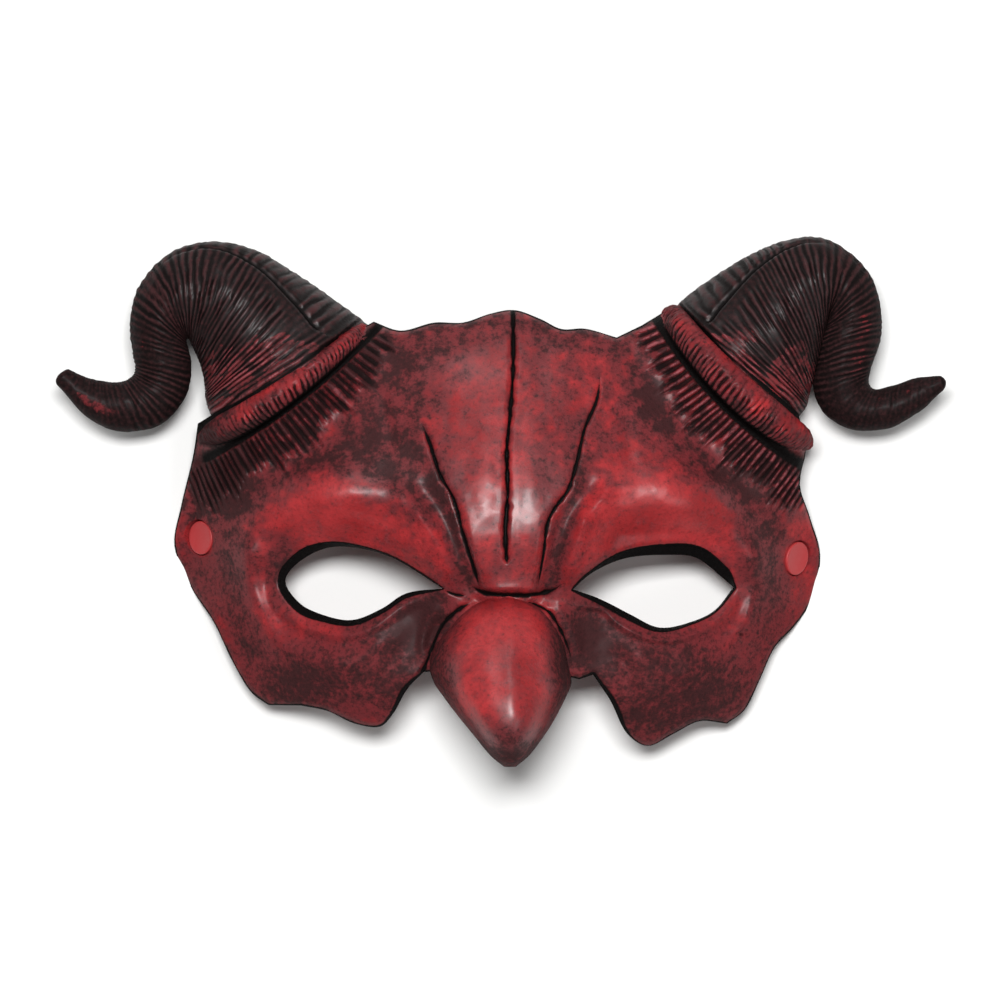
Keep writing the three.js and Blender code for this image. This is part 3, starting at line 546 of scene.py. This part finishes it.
rimPoints = outline(rimMarks, 7)
eyeInner, eyeOuter = {}, {}
for side in sides:
    eyeInner[side], eyeOuter[side] = eyeOutlines(eyeMarks[side])

def eyeCutter(side):    # the opening behind, leaning out to the wider one at the face
    inner, outer = eyeInner[side], eyeOuter[side]
    z = faceHeight(outer[:, 0], outer[:, 1])
    levels = (inner, z * 0 - 10), (inner, z - face["wall"] - 0.2), (outer, z - 0.3), (outer, z * 0 + 90)
    return tube("eyeCutter", np.stack([np.column_stack(level) for level in levels]), cutEdge=1.0)

# Nose

nose = dict(top=-25, tip=-69, roundness=0.85, upper=0.9, soot=0.2, sheen=0.9, rows=150, columns=110)
noseShadeAndWash = [[3, -66.5, 9, 6, 0.9], [-14, -44, 4, 7, 0.5], [16, -43, 4, 10, 0.6], [2, -60, 9, 6, 0.25]]
noseHalfWidths = [[-69, 1.6], [-66.3, 4.9], [-61, 9.2], [-55.9, 12.9], [-50.7, 16.2], [-47.5, 17.9],
                  [-43, 18.2], [-38, 17], [-33.5, 14.4], [-28.4, 10.4], [-25, 4]]
noseMiddles = [[-69, 2.6], [-60, 2.3], [-54, 1.6], [-48, 0.8], [-42, -0.3], [-33, 0.8], [-25, 1.2]]
noseFronts = [[-69, 48], [-67.5, 53.5], [-64, 58.5], [-59, 61.2], [-53, 61.2], [-46, 58.8], [-38, 53.5],
              [-31, 47.5], [-27.5, 43.5], [-25, 39.5]]
noseEdges = [[-69, 44], [-64, 39.5], [-56, 33.5], [-48, 29.5], [-44, 28.5], [-36, 30], [-25, 33]]

# Arches one below the other: half the width · cos, and the front · sin, both to a power
def noseSolid(shrink, rows, columns):
    t = (0.5 - 0.5 * np.cos(np.linspace(0, math.pi, rows)))[:, None]
    turn = np.arange(columns)[None] / columns
    upper = nose["upper"]    # share of the points on the arch, the rest on its flat back
    angle = np.where(turn < upper, turn / upper, 1 + (turn - upper) / (1 - upper)) * math.pi
    y = nose["top"] - shrink + (nose["tip"] - nose["top"] + 2.2 * shrink) * t + 0 * angle
    place = nose["top"] + (nose["tip"] - nose["top"]) * t
    half = np.maximum(profile(noseHalfWidths, place) - shrink, 0.6)
    edge = profile(noseEdges, place) - (30 if shrink else 0)
    rise = np.maximum(profile(noseFronts, place) - shrink - edge, 1)
    power = lambda value: np.sign(value) * np.abs(value) ** nose["roundness"]
    x = profile(noseMiddles, place) + half * power(np.cos(angle))
    z = edge + rise * np.maximum(power(np.sin(angle)), 0)
    if shrink:
        return tube("noseHollow", np.stack([x, y, z], -1), inner=1.0)
    over = smoothStep(0.1, 0.5, np.sin(angle))
    z += over * (0.55 * bell(x - 3.2, 2.6) * smoothStep(-68, -60, y) * smoothStep(-28, -36, y)
                 + 0.25 * grain(x / 7, y / 7, 21) + 0.1 * grain(x / 2.5, y / 2.5, 22))
    z -= 0.8 * hill(x, y, -13.5, -44, 2.2, 7) * over
    # painted shade: darker at the tip and down the steep flanks that turn away from the light, with a mottled
    # patch on the left flank
    soot = nose["soot"] + hills(x, y, noseShadeAndWash) + 0.5 * smoothStep(0.85, 0.35, np.sin(angle))
    cut = np.where(np.sin(angle) < 0.12, 1.0, 0.0)
    sheen = 0.05 + nose["sheen"] * smoothStep(0.6, 0.97, np.sin(angle)) * smoothStep(-67, -60, y)
    return tube("nose", np.stack([x, y, z], -1), soot=soot, sheen=sheen, cutEdge=cut)

# Horns: sections from root to tip, as far edge, near edge and height of the middle

hornSections = {
    "left": [[-32.1, 44.3, -73.4, 17.8, 14], [-40, 50, -76.4, 24, 14.5], [-52, 58.5, -77.2, 29.9, 16],
             [-62.4, 64.5, -78.8, 36.9, 18], [-74.1, 67.6, -80.6, 40.6, 19.5],
             [-85.3, 65, -81.3, 42, 20], [-93.9, 56.2, -81.7, 41.6, 19.5],
             [-96.5, 46.3, -81.3, 39.3, 18.5], [-95.9, 38.5, -80.7, 34.6, 17.5],
             [-95.4, 33.5, -82.2, 26.8, 16.5], [-97.2, 31.6, -88.5, 19.6, 16.5],
             [-102, 30.8, -99, 17.8, 17.5], [-107, 31.6, -108, 21.8, 19],
             [-112.4, 33.9, -115.2, 29.6, 21]],
    "right": [[44.4, 48.6, 75.9, 19.2, 14], [47.8, 52.3, 80.2, 24.2, 14.5], [57.5, 59.5, 80.9, 27.3, 16],
              [66, 64.5, 82.2, 32.5, 18], [75.1, 67.8, 83.7, 39, 19.5], [83.7, 68.4, 85, 44.8, 20],
              [91, 64.7, 85.8, 48.6, 19.5], [97, 58, 84.8, 46, 18.5], [99.6, 48.9, 82.8, 42.6, 17.5],
              [99.1, 41.1, 81.9, 36.4, 16.5], [97.2, 34.8, 81.8, 29.8, 16], [96.4, 30.6, 84.5, 22.9, 16],
              [97.6, 29.2, 91.5, 18.4, 16.5], [102.5, 30.1, 100.8, 18.6, 17.5],
              [108.5, 32, 108.8, 22.6, 19], [114.6, 32.3, 115.4, 28.4, 21]],
}
horn = dict(rootDrop=3.2, roundness=0.94, spacing=1.45, outerSpacing=2.2, ridge=0.5, outerRidge=1.7,
            ringSpacing=4.4, ringSize=0.08, seam=0.7, seamFrom=0.92, seamTurn=0.15, seamDepth=1.1,
            seamWidth=0.9, tuck=0.86, tipReach=0.2, trunkEnd=6, step=0.28, columns=128)
# Painted highlights, lighter stripes along the horn where the black gives way: angle round the horn, half
# width, first and last place, amount, share on ridges
highlightStripes = {
    "left": [[1.75, 0.42, 10.4, 12.9, 0.6, 0.0], [0.9, 0.35, 6.0, 8.2, 0.3, 0.6]],
    "right": [[1.12, 0.34, 7.4, 10.6, 0.5, 0.6], [1.15, 0.3, 11.6, 14.6, 0.35, 0.0]],
}

def hornAngles():    # closer together on the upper side, and closest along the seam
    angle = np.linspace(0, math.tau, 1441)
    density = 0.4 + 0.8 * (np.sin(angle) > -0.25) + 2.6 * bell(angle - horn["seam"], 0.2)
    share = np.concatenate([[0], np.cumsum(density[:-1])]) / density[:-1].sum()
    return np.interp(np.arange(horn["columns"]) / horn["columns"], share, angle)

# Rings about the middle: half the width · cos across and as much · sin up, with fine ridges
def hornSolid(side, start, end, seed):
    sections = np.array(hornSections[side], float)
    far, near = sections[:, [0, 1, 4]], sections[:, [2, 3, 4]]
    fine = np.linspace(0, len(sections) - 1 + horn["tipReach"], 2000)
    middles = (through(far, fine) + through(near, fine)) / 2
    run = np.concatenate([[0], np.cumsum(np.linalg.norm(np.diff(middles, axis=0), axis=1))])
    begin, stop = np.interp([start, end], fine, run)
    s = np.linspace(begin, stop, round((stop - begin) / horn["step"]) + 1)[:, None]
    place = np.interp(s, run, fine)
    seamAt = horn["seamFrom"] - horn["seamTurn"] * (np.clip(place, 1.15, 4.35) - 1.15)
    angle = hornAngles()[None]
    angle = angle + bell(angle - horn["seam"], 0.45) * (seamAt - horn["seam"])
    farAt, nearAt = through(far, place[:, 0]), through(near, place[:, 0])
    middle, half = ((farAt + nearAt) / 2)[:, None], ((farAt - nearAt) / 2)[:, None]
    size = np.linalg.norm(half, axis=-1)
    closing = np.ones_like(s)    # the end inside its neighbour is tucked in, and the tip is rounded
    if start > 0:
        closing = 1 - (1 - horn["tuck"]) * (1 - smoothStep(0, 1.5, s - begin))
    if end > len(sections) - 1:
        closing = closing * np.sqrt(np.clip(1 - np.clip(1 - (stop - s) / 1.4, 0, 1) ** 2, 0.02, 1))
    out = half * np.cos(angle)[..., None]
    out[..., 2] += size * horn["roundness"] * np.sin(angle)
    width = np.linalg.norm(out, axis=-1)
    s, around = s + 0 * angle, np.minimum(angle, math.tau - angle) * np.minimum(size, 14)
    spacing = np.where((angle < seamAt) & (place < 4.6), horn["outerSpacing"], horn["spacing"])
    rough = lambda a, b, n: grain(s / a, around / b, seed + n)
    count = s / spacing + 0.7 * rough(9, 14, 0) + 0.22 * rough(1.8, 5, 1) + 0.08 * rough(0.9, 2, 7)
    wave = waveOf(count)
    uneven = np.clip(0.75 + 0.6 * rough(2.2, 4, 2), 0.1, 1.3)
    calm = 1 - 0.35 * smoothStep(5, 7.5, place) - 0.45 * smoothStep(9.8, 11.2, place)    # less at the tip
    lift = horn["ridge"] * np.where(angle < seamAt, horn["outerRidge"], 1) * calm * uneven * (wave - 0.6)
    lift = lift + horn["ringSize"] * np.cos(math.tau * s / horn["ringSpacing"])
    fadeTip = smoothStep(0, 5, stop - s) if end > len(sections) - 1 else 1
    lift = lift * np.clip(fadeTip, 0.25, 1) * np.clip(size / 7, 0.35, 1)
    lift = lift * (0.3 + 0.7 * smoothStep(0, 0.6, np.sin(angle)))    # plainer on the sides and below
    beside = (angle - seamAt) * size
    seam = np.abs(beside)
    along = smoothStep(0.7, 1.1, place) * (1 - smoothStep(4.2, 5.4, place))
    band = smoothStep(-0.5, 0.5, beside) * smoothStep(6, 4, beside)
    band = 0.75 * band * along * smoothStep(3.4, 2.4, place)    # smooth band beside the seam
    lift = lift * (1 - np.maximum(band, bell(seam, 2.3) * along))
    lift = lift + 0.22 * rough(7, 6, 3) + 0.06 * rough(1.1, 1.3, 8)
    lift = lift - horn["seamDepth"] * bell(seam, horn["seamWidth"]) * along
    lift = lift + 0.25 * bell(seam - 2, 1.2) * along * (angle > seamAt)
    points = middle + out * ((closing * width + lift) / np.maximum(width, 1e-6))[..., None]
    x, y = points[..., 0], points[..., 1]
    u, v = rootPlace(x, y, hornRoots[side])
    fromRing = np.where(place < 5.4, ringTop(v) - u, 30)
    behindRing = smoothStep(1.4, -0.6, fromRing) * smoothStep(8, 14, v)
    points[..., 2] -= horn["rootDrop"] * behindRing
    patches, strokes = rough(5, 5, 4), rough(1.3, 6, 5)
    if side == "left":
        reach = 11 * smoothStep(12, 1, v) + 2 - 8 * smoothStep(10, 15, v)
    else:
        reach = 5 + 9 * smoothStep(-1, -6, v) - 5 * smoothStep(10, 15, v)
    reach = reach + 4 * patches + 3.5 * strokes
    black = smoothStep(reach - 2, reach + 2, fromRing)
    black = np.maximum(black, 0.9 * smoothStep(0.05, 0.45, rough(1.1, 2.6, 9) - 0.4 * wave))
    paint = black + 0.14 * strokes + 0.09 * rough(2.5, 2, 6)
    # painted highlights: lighter stripes along the top of the horn, where the black gives way to the red
    # beneath
    for centre, half, first, last, amount, onRidges in highlightStripes[side]:
        reached = smoothStep(first, first + 0.8, place) * smoothStep(last, last - 0.8, place)
        highlightAndWear = amount * bell(angle - centre, half) * reached
        paint = paint - highlightAndWear * (1 - onRidges + onRidges * 1.5 * wave)
    atRing = np.where(place < 3, np.abs(fromRing - 0.3) / 0.7 + 0.2, noSeam)
    crease = np.minimum(seam / 0.8 + 3 * (1 - along), atRing)
    crest = (2 * wave - 1) * np.clip(uneven, 0, 1) * (1 - band) * calm
    return tube("horn", points, hornPaint=paint, crest=crest, soot=0.85 + 0.35 * patches, crease=crease,
                sheen=0.1 + 0.3 * smoothStep(6, 4.4, place))

# Rings round the roots

def ringSolid(side, seed):    # an ellipse swept over the root, ribbed by the cosine of the way along it
    root = hornRoots[side]
    sweep = np.linspace(-ring["overrun"], math.pi + ring["overrun"], ring["rows"])[:, None]
    angle = (np.arange(ring["columns"]) / ring["columns"] * math.tau)[None]
    middle, halfSpan = ring["middle"][side], ring["halfSpan"][side]
    run = sweep * (halfSpan + ring["stand"]) + 0 * angle
    around = 3.5 * np.minimum(angle, math.tau - angle) + 0 * run
    rough = lambda a, b, n: grain(run / a, around / b, seed + n)
    count = run / ring["spacing"] + 0.06 * around + 0.45 * rough(5, 9, 0) + 0.16 * rough(1.2, 2, 4)
    wave = waveOf(count)
    uneven = np.clip(0.6 + 0.8 * rough(1.8, 1.6, 1), 0, 1.2)
    outerEnd = smoothStep(-14, -19, middle + halfSpan * np.cos(sweep))    # plain at the temple
    teeth = smoothStep(-0.5, 0.4, np.cos(angle)) * (1 - 0.9 * outerEnd)    # the ribs end as teeth below
    lift = ring["rib"] * uneven * (0.3 + 0.9 * teeth) * (wave ** 0.6 - 0.6)
    lift += 0.3 * rough(8, 5, 2) + 0.2 * rough(1.3, 1.1, 5)
    stand = (ring["stand"] + lift) * np.sin(angle)
    v = middle + (halfSpan + stand) * np.cos(sweep)
    half = (ringEdge(v, root) - ringTop(v)) / 2
    narrow = np.maximum(np.abs(np.sin(sweep)), 0.1) ** 0.3
    narrow = np.where(sweep < math.pi / 2, 1, narrow)    # round at the temple
    u = ringTop(v) + half * (1 + narrow * (1 + 0.08 * lift) * np.cos(angle))
    x = root["middle"][0] + u * root["down"][0] + v * root["along"][0]
    y = root["middle"][1] + u * root["down"][1] + v * root["along"][1]
    z = face["rootFront"] - face["rootDepth"] + (face["rootDepth"] + stand) * np.sin(sweep)
    crease = half * narrow * (1 - np.abs(np.cos(angle))) / 0.7 + 0.2 + 0.9 * (np.cos(angle) < 0)
    dark = 0.3 * rough(5, 3, 3) + 0.5 * smoothStep(0.1, 0.9, np.cos(angle))    # painted shade: darker on the underside, where the roll curves under
    dark = dark + (0.7 * smoothStep(12, 24, -v) if side == "left" else 0.2 * smoothStep(8, 20, v))
    # near black between the ribs, most between the teeth below: painted shadow there, over the black wash
    gaps = np.minimum((2 * wave - 1.1) * np.clip(uneven + 0.3, 0, 1), 0.45) * (0.25 + 0.9 * teeth)
    return tube("ring", np.stack([x, y, z + 0 * angle], -1), soot=ring["soot"] + dark, sheen=ring["sheen"],
                crest=gaps, crease=crease)

# Strap studs, turned about the outward normal that the record gives for each

stud = dict(radius=4.4, thickness=1.1, shank=1.8, flange=3, gap=0.3, seat=1, wall=3, sides=72)

def turned(name, pairs, side, **paint):    # [radius, height] pairs carried round the stud's axis
    mount = next(m for m in record["mounts"] if m["name"] == "strap_" + side)
    normal = np.array(mount["axis"], float)
    top = np.array(mount["pos_m"], float) / mm + [0, 0, restHeight]
    normal /= np.linalg.norm(normal)
    origin = top - normal * (stud["gap"] - stud["seat"] + stud["thickness"])
    across = np.cross([0, 1, 0], normal)
    across /= np.linalg.norm(across)
    up = np.cross(normal, across)
    pairs = np.array(pairs, float)
    angle = np.arange(stud["sides"]) / stud["sides"] * math.tau
    circle = np.cos(angle)[:, None] * across + np.sin(angle)[:, None] * up
    rings = origin + pairs[:, 0, None, None] * circle + pairs[:, 1, None, None] * normal
    return tube(name, rings, **paint)

def studPiece(side):
    base = stud["gap"] - stud["seat"]
    top = base + stud["thickness"]
    flangeTop = -stud["wall"] - 0.9
    edge = [[stud["radius"] - 0.3 + 0.3 * math.sin(a), top - 0.3 + 0.3 * math.cos(a)]
            for a in np.linspace(math.pi / 2, 0, 6)]
    flange, shank = stud["flange"], stud["shank"]
    pairs = [[0.05, flangeTop - 0.9], [flange - 0.2, flangeTop - 0.9], [flange, flangeTop - 0.7],
             [flange, flangeTop], [shank, flangeTop], [shank, base], [stud["radius"], base]]
    pairs += edge + [[3.6, top], [3.4, top - 0.06], [0.05, top - 0.04]]
    return turned("strapStud" + side.capitalize(), pairs, side)

def studSeat(side):
    bore, wide = stud["shank"] + stud["gap"], stud["radius"] + stud["gap"]
    pairs = [[bore, -12], [bore, -stud["seat"]], [wide, -stud["seat"]], [wide, -0.3], [wide + 0.2, 0.3],
             [wide + 0.2, 4]]
    return turned("studSeat", pairs, side, soot=0.35)

# The casting, put together in the order in which it is carved

def buildCast():
    def block(x, y):
        near = np.minimum(alongClosed(x, y, eyeInner["left"], 5), alongClosed(x, y, eyeInner["right"], 5))
        return insideHeight(x, y), dict(soot=np.full(x.shape, 0.2), cutEdge=smoothStep(3.5, 1.5, near))
    inside = heightBlock("inside", face["innerStep"], block, -20, inner=1.0)
    left, right = hornRoots["left"], hornRoots["right"]
    def onWall(root, v):
        return [root["middle"][k] + 4.5 * root["down"][k] + v * root["along"][k] for k in (0, 1)]
    corners = [[-120, -120], [120, -120], onWall(right, -120), onWall(right, 26), onWall(left, 26),
               onWall(left, -120)]
    hollow = combined("hollow", inside, ("INTERSECT", prism("behindHorns", corners, -30, 90, inner=1.0)))
    outer = heightBlock("outer", face["step"], faceSurface, -6)
    print("face surface worked out")
    rim = prism("rim", rimPoints, -10, 90, cutEdge=1.0)
    noseShell = combined("noseShell", noseSolid(0, nose["rows"], nose["columns"]), ("DIFFERENCE", hollow))
    steps = [("DIFFERENCE", inside), ("INTERSECT", rim), ("UNION", noseShell)]
    for side, seed in (("left", 50), ("right", 70)):
        last = len(hornSections[side]) - 1 + horn["tipReach"]
        trunk = hornSolid(side, 0, horn["trunkEnd"], seed)
        curl = hornSolid(side, horn["trunkEnd"] - 0.6, last, seed)
        collar = ringSolid(side, seed + 10)
        whole = combined("wholeHorn", trunk, ("UNION", curl), ("UNION", collar), ("DIFFERENCE", hollow))
        steps += [("UNION", whole), ("DIFFERENCE", eyeCutter(side)), ("DIFFERENCE", studSeat(side))]
    square = [[-200, -200], [200, -200], [200, 200], [-200, 200]]
    steps += [("DIFFERENCE", noseSolid(face["wall"], 40, 40)),
              ("INTERSECT", prism("above", square, restHeight, 200, inner=1.0))]
    cast = combined("maskCast", outer, *steps)
    for piece in list(bpy.context.scene.collection.objects):    # the tools of the carving go
        if piece.type == "MESH" and piece is not cast and piece.name not in frame["nodes"]:
            bpy.data.objects.remove(piece)
    print("casting joined:", len(cast.data.polygons), "triangles")
    return cast

def thinned(piece, limit):    # fewer triangles where the surface is plain
    count = sum(len(p.vertices) - 2 for p in piece.data.polygons)
    if count > limit:
        step = piece.modifiers.new("thin", "DECIMATE")
        step.ratio = limit / count
        step.use_collapse_triangulate = True
        piece.data = applied(piece)
    print(piece.name, "thinned to", len(piece.data.polygons), "triangles")

def fillPaint(mesh):    # a point made by a cut has no paint yet, and takes the mean of its neighbours'
    count = len(mesh.vertices)
    values = {}
    for key in paints:
        values[key] = np.zeros(count, np.float32)
        mesh.attributes[key].data.foreach_get("value", values[key])
    edges = np.zeros(2 * len(mesh.edges), np.int32)
    mesh.edges.foreach_get("vertices", edges)
    a, b = edges.reshape(-1, 2).T
    known = values["known"] > 0.999
    for _ in range(6):
        if known.all():
            break
        weight = np.bincount(a, known[b], count) + np.bincount(b, known[a], count)
        fill = ~known & (weight > 0)
        for key in paints:
            value = values[key] * known
            total = np.bincount(a, value[b], count) + np.bincount(b, value[a], count)
            values[key][fill] = total[fill] / weight[fill]
        known |= fill
    for key in paints:
        mesh.attributes[key].data.foreach_set("value", values[key])

castTriangles = 195000
cast = buildCast()
fillPaint(cast.data)
thinned(cast, castTriangles)
studs = {side: studPiece(side) for side in sides}
for piece, sharpFrom in ((cast, 48), (studs["left"], 40), (studs["right"], 40)):
    piece.data.shade_smooth()
    piece.data.set_sharp_from_angle(angle=math.radians(sharpFrom))
print("pieces made")

# Shader values as Python expressions

class Value:
    def __init__(self, finish, socket):
        self.finish, self.socket = finish, socket

    def math(self, operation, first, second):
        return self.finish.node("ShaderNodeMath", dict(operation=operation), {0: first, 1: second})

    def __add__(self, other):
        return self.math("ADD", self, other)

    def __radd__(self, other):
        return self.math("ADD", other, self)

    def __sub__(self, other):
        return self.math("SUBTRACT", self, other)

    def __rsub__(self, other):
        return self.math("SUBTRACT", other, self)

    def __mul__(self, other):
        return self.math("MULTIPLY", self, other)

    def __rmul__(self, other):
        return self.math("MULTIPLY", other, self)

    def __neg__(self):
        return self.math("MULTIPLY", self, -1.0)

    def most(self, other):
        return self.math("MAXIMUM", self, other)

    def least(self, other):
        return self.math("MINIMUM", self, other)

    def step(self, low, high):    # 0 below low, 1 above high, smooth between
        return self.finish.node("ShaderNodeMapRange", dict(interpolation_type="SMOOTHSTEP"),
                                {"Value": self, "From Min": low, "From Max": high})

class Finish:
    def __init__(self, name):
        self.material = bpy.data.materials.new(name)
        self.material.use_nodes = True
        self.tree = self.material.node_tree
        self.tree.nodes.clear()

    def node(self, kind, settings=None, values=None, output=0):
        made = self.tree.nodes.new(kind)
        for key, value in (settings or {}).items():
            setattr(made, key, value)
        for key, value in (values or {}).items():
            if isinstance(value, Value):
                self.tree.links.new(value.socket, made.inputs[key])
            else:
                made.inputs[key].default_value = value
        return Value(self, made.outputs[output]) if made.outputs else None

    def place(self):    # object coordinates in millimetres
        spot = self.node("ShaderNodeTexCoord", output="Object")
        return self.node("ShaderNodeVectorMath", dict(operation="SCALE"), {0: spot, "Scale": 1 / mm})

    def noise(self, place, size, detail=3.0, rough=0.55):
        return self.node("ShaderNodeTexNoise", None,
                         {"Vector": place, "Scale": 1 / size, "Detail": detail, "Roughness": rough})

    def paint(self, key):
        return self.node("ShaderNodeAttribute", dict(attribute_name=key), output="Fac")

    def mix(self, factor, first, second):    # colours
        mixed = self.node("ShaderNodeMix", dict(data_type="RGBA"), output=2)
        inputs = mixed.socket.node.inputs
        for slot, value in ((0, factor), (6, first), (7, second)):
            if isinstance(value, Value):
                self.tree.links.new(value.socket, inputs[slot])
            else:
                inputs[slot].default_value = value
        return mixed

    def bumped(self, height, strength, depth):      # depth in millimetres
        return self.node("ShaderNodeBump", None,
                         {"Height": height, "Strength": strength, "Distance": depth * mm})

    def surface(self, color, roughness, normal, **plain):
        shader = self.node("ShaderNodeBsdfPrincipled", None,
                           {"Base Color": color, "Roughness": roughness, "Normal": normal, **plain})
        self.node("ShaderNodeOutputMaterial", None, {"Surface": shader})
        return self.material

def srgb(red, green, blue):    # screen colour, 0 to 255, as linear light
    share = np.array([red, green, blue]) / 255
    light = np.where(share <= 0.04045, share / 12.92, ((share + 0.055) / 1.055) ** 2.4)
    return (*light.tolist(), 1.0)

# the pale pink is painted highlight; the maroon and the near-black brown lay painted shade as well as the
# black wash
latex = dict(red=srgb(174, 46, 49), deepRed=srgb(142, 29, 32), maroon=srgb(102, 37, 41),
             soot=srgb(44, 26, 27), crest=srgb(158, 84, 90), valley=srgb(16, 9, 9), edge=srgb(8, 5, 5),
             hornBlack=srgb(15, 8, 8), hornRed=srgb(82, 46, 48), inner=srgb(112, 44, 42),
             specular=0.1, coatRoughness=0.36, bump=0.55, bumpDepth=0.3)
disc = dict(red=srgb(170, 46, 48), pale=srgb(176, 58, 60), roughness=0.5, bump=0.15, bumpDepth=0.1)

def latexPaint():
    finish = Finish("paintedLatex")
    place = finish.place()
    soot, crease, crest = finish.paint("soot"), finish.paint("crease"), finish.paint("crest")
    black, cut, inner = finish.paint("hornPaint"), finish.paint("cutEdge"), finish.paint("inner")
    sheen = finish.paint("sheen")
    broad, blotch = finish.noise(place, 18.0, 2.0), finish.noise(place, 5.0, 3.0, 0.6)
    dapple, speck = finish.noise(place, 2.4, 2.0), finish.noise(place, 1.1, 3.0, 0.65)
    pore = finish.noise(place, 0.5, 2.0)
    red = finish.mix(broad.step(0.35, 0.65), latex["red"], latex["deepRed"])
    red = finish.mix(dapple.step(0.4, 0.7) * 0.35, red, latex["deepRed"])
    # painted shade: the maroon glaze darkens the cheeks, temples and other shaded parts, broken by mottling
    shadeAndGlaze = (soot + (blotch - 0.5) * 0.7 + (dapple - 0.5) * 0.5).step(0.05, 0.65)
    red = finish.mix(shadeAndGlaze * 0.92, red, latex["maroon"])
    red = finish.mix((dapple * 0.5 + pore * 0.5).step(0.54, 0.68) * 0.15, red, latex["crest"])
    # painted highlight: pink on the crests of ribs and strands
    red = finish.mix((crest + (speck - 0.5) * 0.8).step(0.3, 0.9) * 0.8, red, latex["crest"])
    # dark mottled wash, which also lays painted shade where the dark paint value runs high
    grimeAndShade = (soot * 1.15 + (dapple - 0.5) * 1.4 + (speck - 0.5) * 1.4 - 0.65).step(-0.1, 0.75)
    flecks = (pore * 0.6 + speck * 0.4).step(0.55, 0.66) * (soot * 0.9 + 0.08).least(0.6)
    red = finish.mix(flecks, red, latex["soot"])
    red = finish.mix(grimeAndShade * 0.85, red, latex["soot"])
    # near black in the valleys: black wash, and painted shadow between the ring's teeth
    valley = (-crest + (speck - 0.5) * 1.1).step(-0.1, 0.7)
    red = finish.mix(valley * 0.92, red, latex["valley"])
    # redder ridges on the horns: painted highlight, and wear
    highlightAndWear = (crest * 0.5 + speck * 0.9).step(0.25, 1.05)
    horn = finish.mix(highlightAndWear * 0.6, latex["hornBlack"], latex["hornRed"])
    cover = (black * 1.5 - crest * 0.3 + (speck - 0.5) * 1.2 - 0.3).step(0.2, 0.6)
    color = finish.mix(cover, red, horn)
    line = 1.0 - (crease + (speck - 0.5) * 0.8).step(0.5, 1.25)
    edge = (cut + (speck - 0.5) * 0.3).step(0.1, 0.45)
    dark = line.most(edge)
    color = finish.mix(dark, color, latex["edge"])
    bare = finish.mix(blotch.step(0.4, 0.65) * 0.5, latex["inner"], latex["maroon"])
    inside = (inner - cut).step(0.3, 0.8)
    color = finish.mix(inside, color, bare)
    rough = 0.88 - sheen * 0.38 + (pore - 0.5) * 0.2
    gloss = sheen * (1 - grimeAndShade * 0.6) * (1 - dark) * (1 - inside) * (crest.step(-0.8, 0.1) * 0.8 + 0.2)
    height = pore * 0.7 + speck * 1.2 + dapple * 0.5
    normal = finish.bumped(height, latex["bump"], latex["bumpDepth"])
    plain = {"Specular IOR Level": latex["specular"], "Coat Roughness": latex["coatRoughness"]}
    return finish.surface(color, rough, normal, **{"Coat Weight": gloss, **plain})

def studPaint():
    finish = Finish("studPlastic")
    place = finish.place()
    speck, pore = finish.noise(place, 2.2), finish.noise(place, 0.4, 2.0)
    color = finish.mix(speck.step(0.4, 0.7) * 0.35, disc["red"], disc["pale"])
    rough = disc["roughness"] + (pore - 0.5) * 0.15
    return finish.surface(color, rough, finish.bumped(pore, disc["bump"], disc["bumpDepth"]))

cast.data.materials.clear()
cast.data.materials.append(latexPaint())
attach(cast, "root")
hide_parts("mask")
studFinish = studPaint()
for side, piece in studs.items():
    piece.data.materials.append(studFinish)
    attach(piece, "root")
    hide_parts("strap_stud_" + side)
print("finishes set")

# Camera straight above, floor and studio light

view = dict(width=0.26, distance=3.0, sensor=0.036, level=0.028)
camera = placed("camera", bpy.data.cameras.new("camera"))
camera.location = (0, 0, view["distance"])
camera.data.sensor_width = 1000 * view["sensor"]
camera.data.lens = 1000 * view["sensor"] * (view["distance"] - view["level"]) / view["width"]
camera.data.clip_end = 20
bpy.context.scene.camera = camera

floorMesh = bpy.data.meshes.new("floor")
floorMesh.from_pydata([(-4, -4, 0), (4, -4, 0), (4, 4, 0), (-4, 4, 0)], [], [(0, 1, 2, 3)])
placed("floor", floorMesh)
pale = Finish("paleFloor")
floorRough = pale.noise(pale.place(), 30.0) * 0.1 + 0.6
floorNormal = pale.bumped(pale.noise(pale.place(), 2.0), 0.02, 1)
floorMesh.materials.append(pale.surface((0.86, 0.86, 0.85, 1), floorRough, floorNormal))

def softbox(name, place, size, power, aim=(0, 0, 0.02)):
    lamp = bpy.data.lights.new(name, "AREA")
    lamp.shape, lamp.size, lamp.size_y, lamp.energy = "RECTANGLE", size[0], size[1], power
    box = placed(name, lamp)
    box.location = place
    box.rotation_euler = (Vector(aim) - Vector(place)).to_track_quat("-Z", "Y").to_euler()

softbox("keyLight", (-0.1, 0.6, 3.4), (1.1, 0.6), 122)
softbox("backLight", (-0.1, 2.5, 1.6), (0.7, 0.9), 11)
softbox("fillLight", (1.8, -1.0, 2.4), (1.2, 1.2), 12)
world = bpy.data.worlds.new("studio")
world.use_nodes = True
background = world.node_tree.nodes["Background"].inputs
background["Color"].default_value = (1, 1, 1, 1)
background["Strength"].default_value = 0.15
bpy.context.scene.world = world
bpy.context.scene.view_settings.view_transform = "Standard"
